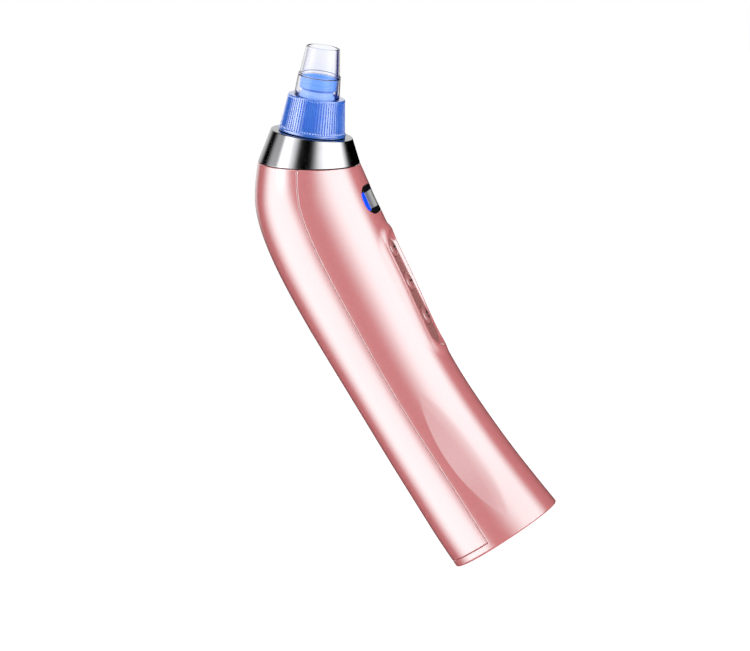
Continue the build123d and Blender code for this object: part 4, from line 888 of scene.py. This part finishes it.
def build_collar():
    """The chrome cone between the neck and the nozzle plane, with softened rims."""
    neck = leaning(*STATIONS[-1, :3])
    low = neck.circle(STATIONS[-1, 3], COLLAR_GAP, COLLAR_COUNT)
    tuck = neck.circle(COLLAR_TUCK_R, COLLAR_GAP, COLLAR_COUNT)
    high = NOZZLE.circle(COLLAR_TOP_R, 0, COLLAR_COUNT)
    hole = NOZZLE.circle(COLLAR_HOLE_R, 0, COLLAR_COUNT)
    hole_low = NOZZLE.circle(COLLAR_HOLE_R, -COLLAR_PLATE, COLLAR_COUNT)
    side = unit(np.cross(np.roll(low, -1, 0) - np.roll(low, 1, 0), unit(high - low)))
    above = np.repeat(NOZZLE.z[None], COLLAR_COUNT, 0)
    below = np.repeat(-neck.z[None], COLLAR_COUNT, 0)
    outward = unit(high - hole)
    rings = [(tuck, below)]
    rings += fillet(low, below, side, COLLAR_LOW_ROUND)
    rings += fillet(high, side, above, COLLAR_TOP_ROUND)
    rings += [(hole + (high - hole) * COLLAR_LIP, above), (hole, outward), (hole_low, outward)]
    verts, normals = (np.concatenate(rows) for rows in zip(*rings))
    faces = [quad for i in range(len(rings) - 1) for quad in strip(i, i + 1, COLLAR_COUNT)]
    new_piece("collar_shell", verts, faces, "chrome", "housing", ["chrome_collar"], normals)


FLUTES, FLUTE_DEPTH, FLUTE_LAND, FLUTE_END, FLUTE_FADE = 72, 0.3, 0.1, 0.35, 0.5
FLUTE_FROM_R, FLUTE_SAMPLES = 10.2, 12
SKIRT_LOW, SKIRT_LIP, SKIRT_ROWS = 0.15, 1.35, 22
SKIRT_LOW_R, SKIRT_TOP_R, SKIRT_LIP_R = 12.7, 10.9, 12.95
SOCKET_R, SOCKET_OUT_R, SOCKET_TOP = 7.58, 8.8, 12.9
STUB_R, STUB_BAND_R, STUB_NECK_R, STUB_GROOVE_R, STUB_BORE_R = 6.9, 7.12, 6.2, 6.75, 5.3
STUB_GROOVE, STUB_GROOVE_HALF = 19.55, 0.25
TIP_BASE_R, TIP_SHOULDER_R, TIP_NECK_R, TIP_MOUTH_R = 8.7, 8.1, 7.7, 6.4
TIP_SHOULDER, TIP_MOUTH, TIP_RIM, TIP_STEP = 22.9, 33.5, 0.43, 0.3
TIP_BORE_R, TIP_MOUTH_BORE_R = 6.7, 5.5


def fluted(r, h, ang):
    """The skirt's radius with its flutes, which fade out at both lips."""
    over_lip, under_top = h - SKIRT_LOW - SKIRT_LIP, SKIRT_TOP - FLUTE_END - h
    span = (over_lip > 0) & (under_top > 0) & (r > FLUTE_FROM_R)
    fade = ease(over_lip / FLUTE_FADE) * ease(under_top / FLUTE_FADE)
    groove = np.clip((np.cos(FLUTES * ang) - FLUTE_LAND) / (1 - FLUTE_LAND), 0, 1)
    return np.where(span, r - FLUTE_DEPTH * groove * fade, r)


def build_skirt():
    """The blue fluted skirt with its lips and its socket."""
    slope = (SKIRT_TOP_R - SKIRT_LOW_R) / (SKIRT_TOP - SKIRT_LOW)
    heights = np.linspace(SKIRT_LOW + SKIRT_LIP, SKIRT_TOP - 0.4, SKIRT_ROWS)
    corners = [
        (SOCKET_R, SKIRT_LOW + 0.2, CRISP),
        (SOCKET_OUT_R, SKIRT_LOW + 0.2, CRISP),
        (SOCKET_OUT_R + 0.25, SOCKET_TOP, 0.4),
        (SOCKET_OUT_R + 0.8, SOCKET_TOP, SOFT),
        (SKIRT_LIP_R - 1.6, SKIRT_LOW, 0.2),
        (SKIRT_LIP_R, SKIRT_LOW, 0.35),
        (SKIRT_LIP_R - 0.05, SKIRT_LOW + SKIRT_LIP - 0.05, SOFT),
        *[(SKIRT_LOW_R + slope * (h - SKIRT_LOW), h, 0) for h in heights],
        (SKIRT_TOP_R - 0.05, SKIRT_TOP, SOFT),
        (STUB_R + 0.05, SKIRT_TOP, CRISP),
        (STUB_R + 0.05, SOCKET_TOP, CRISP),
        (SOCKET_R, SOCKET_TOP - 0.8, 0.2),
    ]
    around = FLUTES * FLUTE_SAMPLES
    revolved(
        "blue_skirt", NOZZLE, corners, "blue_plastic", "probe", ["probe_base"], around, 4, fluted
    )


def build_stub():
    """The blue stub: a neck, then two bands with a groove between them."""
    corners = [
        (STUB_R, SKIRT_TOP - 1.4, CRISP),
        (STUB_R, SKIRT_TOP + 0.4, SOFT),
        (STUB_NECK_R, SKIRT_TOP + 0.9, SOFT),
        (STUB_NECK_R, STUB_STEP - 0.1, SOFT),
        (STUB_BAND_R, STUB_STEP + 0.1, SOFT),
        (STUB_BAND_R, STUB_GROOVE - STUB_GROOVE_HALF, SOFT),
        (STUB_GROOVE_R, STUB_GROOVE, FINE),
        (STUB_BAND_R, STUB_GROOVE + STUB_GROOVE_HALF, SOFT),
        (STUB_BAND_R, STUB_TOP, 0.4),
        (STUB_BORE_R, STUB_TOP, SOFT),
        (STUB_BORE_R, SKIRT_TOP - 1.4, SOFT),
    ]
    revolved("blue_stub", NOZZLE, corners, "blue_plastic", "probe", around=192, look="blue_stub")


def build_tip():
    """The clear tip: a base on the skirt, a shoulder over the stub and an open mouth."""
    corners = [
        (STUB_BAND_R + 0.05, SKIRT_TOP + 0.05, CRISP),
        (TIP_BASE_R, SKIRT_TOP + 0.05, 0.25),
        (TIP_SHOULDER_R, TIP_SHOULDER, 0.35),
        (TIP_NECK_R, TIP_SHOULDER + TIP_STEP, SOFT),
        (TIP_MOUTH_R, TIP_MOUTH, TIP_RIM),
        (TIP_MOUTH_BORE_R, TIP_MOUTH, TIP_RIM),
        (TIP_BORE_R, STUB_TOP + 0.3, SOFT),
        (STUB_BAND_R + 0.05, STUB_TOP + 0.1, 0.12),
    ]
    tip = ["suction_tip"]
    revolved("clear_tip_shell", NOZZLE, corners, "clear_plastic", "probe", tip, 384, steps=8)


AIR_R, BARB_R, BARB_END, HUB_R, HUB_TOP = 1.7, 2.5, -14.0, 5.0, -6.0
FLANGE_R, FLANGE_LOW, FLANGE_TOP = 13.5, -3.55, -1.55
SPIGOT_R, SPIGOT_TOP, FILTER_R, FILTER_LOW = 7.5, 11.5, 5.4, 7.3
O_RING_SLOT_R, O_RING_SLOT = 6.16, (5.22, 6.78)


def build_port():
    """The grey port: hose barb, hub, flange and the spigot with its O-ring slot."""
    corners = [
        (AIR_R, BARB_END, 0.2),
        (BARB_R, BARB_END, SOFT),
        (BARB_R, HUB_TOP, SOFT),
        (HUB_R, HUB_TOP, 0.4),
        (HUB_R, FLANGE_LOW, SOFT),
        (FLANGE_R, FLANGE_LOW, SOFT),
        (FLANGE_R, FLANGE_TOP, SOFT),
        (SPIGOT_R, FLANGE_TOP, SOFT),
        (SPIGOT_R, O_RING_SLOT[0], FINE),
        (O_RING_SLOT_R, O_RING_SLOT[0], CRISP),
        (O_RING_SLOT_R, O_RING_SLOT[1], CRISP),
        (SPIGOT_R, O_RING_SLOT[1], FINE),
        (SPIGOT_R, SPIGOT_TOP, 0.6),
        (FILTER_R, SPIGOT_TOP, SOFT),
        (FILTER_R, FILTER_LOW, CRISP),
        (AIR_R, FILTER_LOW, 0.2),
    ]
    port = ["nozzle_port"]
    revolved("port_spigot", NOZZLE, corners, "grey_plastic", "housing", port, around=128, steps=4)


# ---- buttons and panel
BUTTON_MIDDLE, BUTTON_PITCH = 3.5, 14.4
BUTTON_UP = {
    "level_up": BUTTON_MIDDLE + BUTTON_PITCH,
    "level_down": BUTTON_MIDDLE,
    "power": BUTTON_MIDDLE - BUTTON_PITCH,
}
WELL_R, WELL_ROLL, WELL_ROWS, WELL_COUNT = 3.72, 0.35, (0.0, 0.03, 0.1, 0.2, 0.34, 0.5), 72
INLAY_GAP, INLAY_THICK, INLAY_ROWS, INLAY_COUNT = 0.03, 0.75, (0.3, 0.9, 1.6), 150
INLAY_STEP = 0.004


def well_distance(x, y):
    return np.min([np.hypot(x, y - up) - WELL_R for up in BUTTON_UP.values()], axis=0)


def inlay_at(x, y):
    return PANEL.at(x, y, -roll(well_distance(x, y), WELL_ROLL))


def build_panel():
    """The recess floor, a slot-shaped plate with a rounded well at each button."""
    points = [tuple(p) for p in slot_ring(FLOOR_D - INLAY_GAP, ISLAND_COUNT)]
    edges = closed_loop(0, ISLAND_COUNT)
    for d in INLAY_ROWS:
        points += [tuple(p) for p in slot_ring(FLOOR_D - d, INLAY_COUNT)]
    turns = np.linspace(0, 2 * math.pi, WELL_COUNT, endpoint=False)
    for up in BUTTON_UP.values():
        edges += closed_loop(len(points), WELL_COUNT)
        for d in WELL_ROWS:
            r = WELL_R + d
            points += [(r * math.cos(a), up + r * math.sin(a)) for a in turns]
    flat, tris, middles = triangulate(points, edges)
    x, y = middles.T
    solid = (rim_distance(x, y) < FLOOR_D - 0.02) & (well_distance(x, y) > 0)
    tris = [t for t, kept in zip(tris, solid) if kept]
    x, y = flat.T
    normals = normal_of(inlay_at, x, y, INLAY_STEP)
    verts, faces, normals = walled(tris, inlay_at(x, y), normals, -PANEL.z * INLAY_THICK)
    new_piece("recess_floor", verts, faces, "rose_inlay", "housing", ["button_panel"], normals)


CAP_R, CAP_FLANGE_R, CAP_STEM_R = 3.6, 4.4, 1.7
CAP_STEM_END, CAP_FLANGE_LOW, CAP_FLANGE_TOP = -4.3, -3.52, -2.72
CAP_EDGE, CAP_TOP = 0.55, 1.06
STROKE_HALF, STROKE_REACH = 0.36, 1.45
POWER_BAR_HALF, POWER_BAR_LOW, POWER_BAR_HIGH = 0.324, 0.2, 1.9
POWER_IN_R, POWER_FROM, POWER_TO, POWER_COUNT = 0.95, 125, 415, 40
GLYPH_LOW, GLYPH_HIGH, GLYPH_CROWN = 1.0, 1.09, 0.012


def box(x, low, high):
    return [(-x, low), (x, low), (x, high), (-x, high)]


def power_ring():
    """The open ring of the power mark, in short four-sided strokes."""
    arc = np.radians(np.linspace(POWER_FROM, POWER_TO, POWER_COUNT))
    quads = []
    for a, b in zip(arc, arc[1:]):
        ends = ((STROKE_REACH, a), (STROKE_REACH, b), (POWER_IN_R, b), (POWER_IN_R, a))
        quads.append([(r * math.cos(turn), r * math.sin(turn)) for r, turn in ends])
    return quads


def glyph_strokes(name):
    """A button's mark: plus, minus or power ring."""
    w, reach = STROKE_HALF, STROKE_REACH
    if name == "power":
        return [box(POWER_BAR_HALF, POWER_BAR_LOW, POWER_BAR_HIGH), *power_ring()]
    if name == "level_up":
        return [box(reach, -w, w), box(w, w, reach), box(w, -reach, -w)]
    return [box(reach, -w, w)]


def build_glyph(name, spot):
    """The painted mark, lying just over the crowned cap."""
    verts, faces = [], []
    for quad in glyph_strokes(name):
        low, high = len(verts), len(verts) + 4
        for lift in (GLYPH_LOW, GLYPH_HIGH):
            verts += [spot.at(x, y, lift - GLYPH_CROWN * (x * x + y * y)) for x, y in quad]
        faces.append((high, high + 1, high + 2, high + 3))
        faces += [(low + a, low + b, high + b, high + a) for a, b in closed_loop(0, 4)]
    new_piece(f"{name}_glyph", verts, faces, "rose_button", name, look="glyph_paint")


def build_buttons():
    """Three domed caps with a flange under the floor, a stem and a mark each."""
    corners = [
        (0, CAP_STEM_END, 0),
        (CAP_STEM_R, CAP_STEM_END, CRISP),
        (CAP_STEM_R, CAP_FLANGE_LOW, CRISP),
        (CAP_FLANGE_R, CAP_FLANGE_LOW, FINE),
        (CAP_FLANGE_R, CAP_FLANGE_TOP, FINE),
        (CAP_R, CAP_FLANGE_TOP, 0.05),
        (CAP_R, CAP_EDGE, 0.45),
        (CAP_R - 1.0, CAP_TOP - 0.13, 1.2),
        (CAP_R - 2.2, CAP_TOP - 0.02, 0.8),
        (0, CAP_TOP, 0),
    ]
    for name, up in BUTTON_UP.items():
        spot = Frame(PANEL.at(0, up, 0), PANEL.x, PANEL.z)
        cap, button = f"{name}_cap", f"{name}_button"
        revolved(cap, spot, corners, "rose_button", name, [button], around=96)
        build_glyph(name, spot)


# ---- display
PART_GAP, PART_JOINT = 0.08, 0.035
PANE_X, PANE_Y, CAP_SHOULDER = 5.85, 3.35, 0.35
PART_ROWS, PART_GRID, PART_CLEAR = (0.03, 0.08, 0.16, 0.26), 0.45, 0.3
PART_REACH_X, PART_REACH_Y = 8.6, 5.9
PART_ROLL, PART_WALL, PART_STEP = 0.16, 1.3, 0.01
PANE_SINK, LIGHT_SINK, BLACK_SINK = 0.14, 0.16, 0.10
OVAL_COUNT, PANE_STEP, LIGHT_COUNT, BLACK_COUNT = 180, 0.5, 16, 28


def display_part(name, ring, inset, slot, node, sink):
    """One part of the window on the housing's curve; inset is the distance inside its edge."""
    points = list(ring)
    for x in np.arange(-PART_REACH_X, PART_REACH_X + 0.1, PART_GRID):
        for y in np.arange(-PART_REACH_Y, PART_REACH_Y + 0.1, PART_GRID):
            if inset(x, y) > PART_CLEAR:
                points.append((x, y))
    along = unit(np.roll(ring, -1, 0) - np.roll(ring, 1, 0))
    inward = np.stack([-along[:, 1], along[:, 0]], 1)
    for e in PART_ROWS:
        points += [tuple(p) for p in ring + inward * e if inset(*p) > 0]
    flat, tris, middles = triangulate(points, closed_loop(0, len(ring)))
    tris = [t for t, middle in zip(tris, middles) if inset(*middle) > 0]
    insets = np.vectorize(inset, otypes=[float])

    def place(x, y):
        q, t = find_t(DISPLAY, x, y)
        drop = sink + roll(insets(x, y), PART_ROLL)
        return body_at(q, t) - body_normal(q, t) * drop[..., None]

    x, y = flat.T
    normals = normal_of(place, x, y, PART_STEP)
    verts, faces, normals = walled(tris, place(x, y), normals, -DISPLAY.z * PART_WALL)
    new_piece(name, verts, faces, slot, "housing", [node], normals)


def build_pane():
    """The grey window in the middle."""
    x, y = PANE_X - PART_JOINT, PANE_Y - PART_JOINT
    across = np.linspace(-x, x, int(2 * x / PANE_STEP), endpoint=False)
    up = np.linspace(-y, y, int(2 * y / PANE_STEP), endpoint=False)
    ring = [(a, -y) for a in across] + [(x, b) for b in up]
    ring += [(-a, y) for a in across] + [(-x, -b) for b in up]

    def inset(a, b):
        return min(x - abs(a), y - abs(b))

    display_part("display_pane", ring, inset, "display_window", "display_glass", PANE_SINK)


def build_crescent(name, side):
    """The blue light at one side of the window."""
    inner, limit = PANE_X + PART_JOINT, PANE_Y + CAP_SHOULDER
    ring = [p for p in map(tuple, oval_ring(-PART_GAP, OVAL_COUNT))]
    ring = [p for p in ring if side * p[0] > PANE_X + 0.1 and abs(p[1]) < limit]
    ring = sorted(ring, key=lambda p: p[1] * side)
    top = abs(ring[0][1])
    ring += [(side * inner, y) for y in np.linspace(ring[-1][1], ring[0][1], LIGHT_COUNT)]

    def inset(x, y):
        return min(side * x - inner, -PART_GAP - oval_distance(x, y), top - abs(y))

    display_part(name, ring, inset, "blue_light", "display_light_guides", LIGHT_SINK)


def build_black_cap(name, side):
    """The black end of the window, above or below the pane."""
    edge, limit = PANE_Y + PART_JOINT, PANE_Y + CAP_SHOULDER
    ring = [p for p in map(tuple, oval_ring(-PART_GAP, OVAL_COUNT)) if side * p[1] > limit]
    ring = sorted(ring, key=lambda p: -p[0] * side)
    ring += [(-PANE_X * side, side * limit)]
    ring += [(x * side, side * edge) for x in np.linspace(-PANE_X, PANE_X, BLACK_COUNT)]
    ring += [(PANE_X * side, side * limit)]

    def inset(x, y):
        return min(-PART_GAP - oval_distance(x, y), side * y - (edge if abs(x) < PANE_X else limit))

    display_part(name, ring, inset, "black_gloss", "display_bezel", BLACK_SINK)


def build_display():
    """Grey pane, blue crescents and black caps."""
    build_pane()
    build_crescent("light_crescent_left", -1)
    build_crescent("light_crescent_right", 1)
    build_black_cap("black_cap_low", -1)
    build_black_cap("black_cap_high", 1)


# ---- stage
# Soft light panels round the camera's own azimuth: (from, full from, full to, to) in degrees
LEFT_PANEL, LEFT_PANEL_RISE = (-130.0, -88.0, -54.0, -27.0), (-22.0, -7.0, 44.0, 58.0)
RIGHT_PANEL, RIGHT_PANEL_RISE = (-8.0, 50.0, 78.0, 108.0), (-50.0, -34.0, 2.0, 16.0)
HIGH_PANEL, HIGH_PANEL_RISE = (-78.0, -60.0, 4.0, 22.0), (30.0, 42.0, 64.0, 74.0)
BACK_PANEL, BACK_PANEL_RISE = (144.0, 162.0, 200.0, 201.0), (2.0, 12.0, 45.0, 60.0)
PANEL_STRENGTH, HIGH_STRENGTH, BACK_STRENGTH = 3.4, 2.3, 0.9
INSIDE_DARK, INSIDE_DARK_RISE = (96.0, 122.0, 158.0, 171.0), (20.0, 38.0)
WHITE, INSIDE_NAVY = (1.0, 1.0, 1.0), (0.015, 0.015, 0.16)
AMBIENT_FRONT, AMBIENT_BACK, AMBIENT_TURN = 1.0, 0.62, (40.0, 150.0)
FLOOR_RADIUS, FLOOR_SIDES, FLOOR_GREY, FLOOR_GLOW = 4.0, 96, 0.5, 0.72


class Sky(Graph):
    """Smooth panels of light as functions of a direction's azimuth and height."""

    def band(self, value, start, full, fall, end):
        rise = self.step(value, start, full)
        return self.math("MULTIPLY", rise, self.step(value, fall, end, 1.0, 0.0))

    def background(self, strength=None, colour=None):
        """White light, or one whose strength or colour another node gives."""
        light = self.add("ShaderNodeBackground")
        light.inputs["Color"].default_value = (*WHITE, 1)
        for source, name in ((strength, "Strength"), (colour, "Color")):
            if source is not None:
                self.link(source, light.inputs[name])
        return light.outputs[0]


def panel_light(sky, azimuth, around, rise):
    """What glossy rays see: soft white panels on black."""
    glow = None
    for turn, span, height_span, strength in (
        (azimuth, LEFT_PANEL, LEFT_PANEL_RISE, PANEL_STRENGTH),
        (azimuth, RIGHT_PANEL, RIGHT_PANEL_RISE, PANEL_STRENGTH),
        (azimuth, HIGH_PANEL, HIGH_PANEL_RISE, HIGH_STRENGTH),
        (around, BACK_PANEL, BACK_PANEL_RISE, BACK_STRENGTH),
    ):
        lit = sky.math("MULTIPLY", sky.band(turn, *span), sky.band(rise, *height_span))
        lit = sky.math("MULTIPLY", lit, strength)
        glow = lit if glow is None else sky.math("ADD", glow, lit)
    return sky.background(strength=glow)


def inside_light(sky, azimuth, rise):
    """What clear parts gather once light has entered them: white, with a dark side and top."""
    shade = sky.math("MAXIMUM", sky.band(azimuth, *INSIDE_DARK), sky.step(rise, *INSIDE_DARK_RISE))
    return sky.background(colour=sky.between(shade, WHITE, INSIDE_NAVY))


def make_world():
    """White paper to the camera, with its own surroundings for each kind of ray."""
    world = bpy.data.worlds.new("studio")
    bpy.context.scene.world = world
    world.use_nodes = True
    world.cycles.sampling_method = "NONE"
    sky = Sky(world.node_tree)
    sky.nodes.clear()
    ray = sky.add("ShaderNodeTexCoord").outputs["Generated"]
    across = sky.toward(ray, VIEW_RIGHT)
    ahead = sky.toward(ray, VIEW_LEVEL)
    azimuth = sky.math("DEGREES", sky.math("ARCTAN2", across, ahead))
    rise = sky.math("DEGREES", sky.math("ARCSINE", sky.toward(ray, (0, 0, 1))))
    around = sky.math("ABSOLUTE", azimuth)
    ambient = sky.step(around, *AMBIENT_TURN, AMBIENT_FRONT, AMBIENT_BACK)
    path = sky.add("ShaderNodeLightPath").outputs
    shown = sky.background()
    for test, light in (
        (path["Is Glossy Ray"], panel_light(sky, azimuth, around, rise)),
        (sky.math("GREATER_THAN", path["Transmission Depth"], 0.5), inside_light(sky, azimuth, rise)),
        (sky.math("GREATER_THAN", path["Diffuse Depth"], 0.5), sky.background(strength=ambient)),
    ):
        mix = sky.add("ShaderNodeMixShader")
        sky.link(test, mix.inputs[0])
        sky.link(shown, mix.inputs[1])
        sky.link(light, mix.inputs[2])
        shown = mix.outputs[0]
    sky.link(shown, sky.add("ShaderNodeOutputWorld").inputs[0])


def make_floor():
    """A white paper disc that reflections and clear parts do not see."""
    mesh = bpy.data.meshes.new("floor")
    bm = bmesh.new()
    bmesh.ops.create_circle(bm, cap_ends=True, radius=FLOOR_RADIUS, segments=FLOOR_SIDES)
    bm.to_mesh(mesh)
    bm.free()
    floor = bpy.data.objects.new("floor", mesh)
    bpy.context.scene.collection.objects.link(floor)
    mat = bpy.data.materials.new("floor_paper")
    mat.use_nodes = True
    shader = mat.node_tree.nodes["Principled BSDF"]
    shader.inputs["Base Color"].default_value = (FLOOR_GREY, FLOOR_GREY, FLOOR_GREY, 1)
    shader.inputs["Roughness"].default_value = 1.0
    shader.inputs["Specular IOR Level"].default_value = 0.0
    shader.inputs["Emission Color"].default_value = (*WHITE, 1)
    shader.inputs["Emission Strength"].default_value = FLOOR_GLOW
    mesh.materials.append(mat)
    floor.visible_glossy = False
    floor.visible_transmission = False


def make_stage():
    make_world()
    make_floor()
    bpy.context.scene.view_settings.view_transform = "Standard"
    bpy.context.scene.view_settings.look = "None"


def dress_cad():
    """Gives every CAD node the material of its slot."""
    for part in frame["record"]["subparts"]:
        materials = frame["nodes"][part["node"]].data.materials
        materials.clear()
        materials.append(MATS[part["material_slot"]])


# ---- build
make_camera()
dress_cad()
build_front_housing()
build_rear_cover()
build_collar()
build_port()
build_skirt()
build_stub()
build_tip()
build_panel()
build_buttons()
build_display()
make_stage()
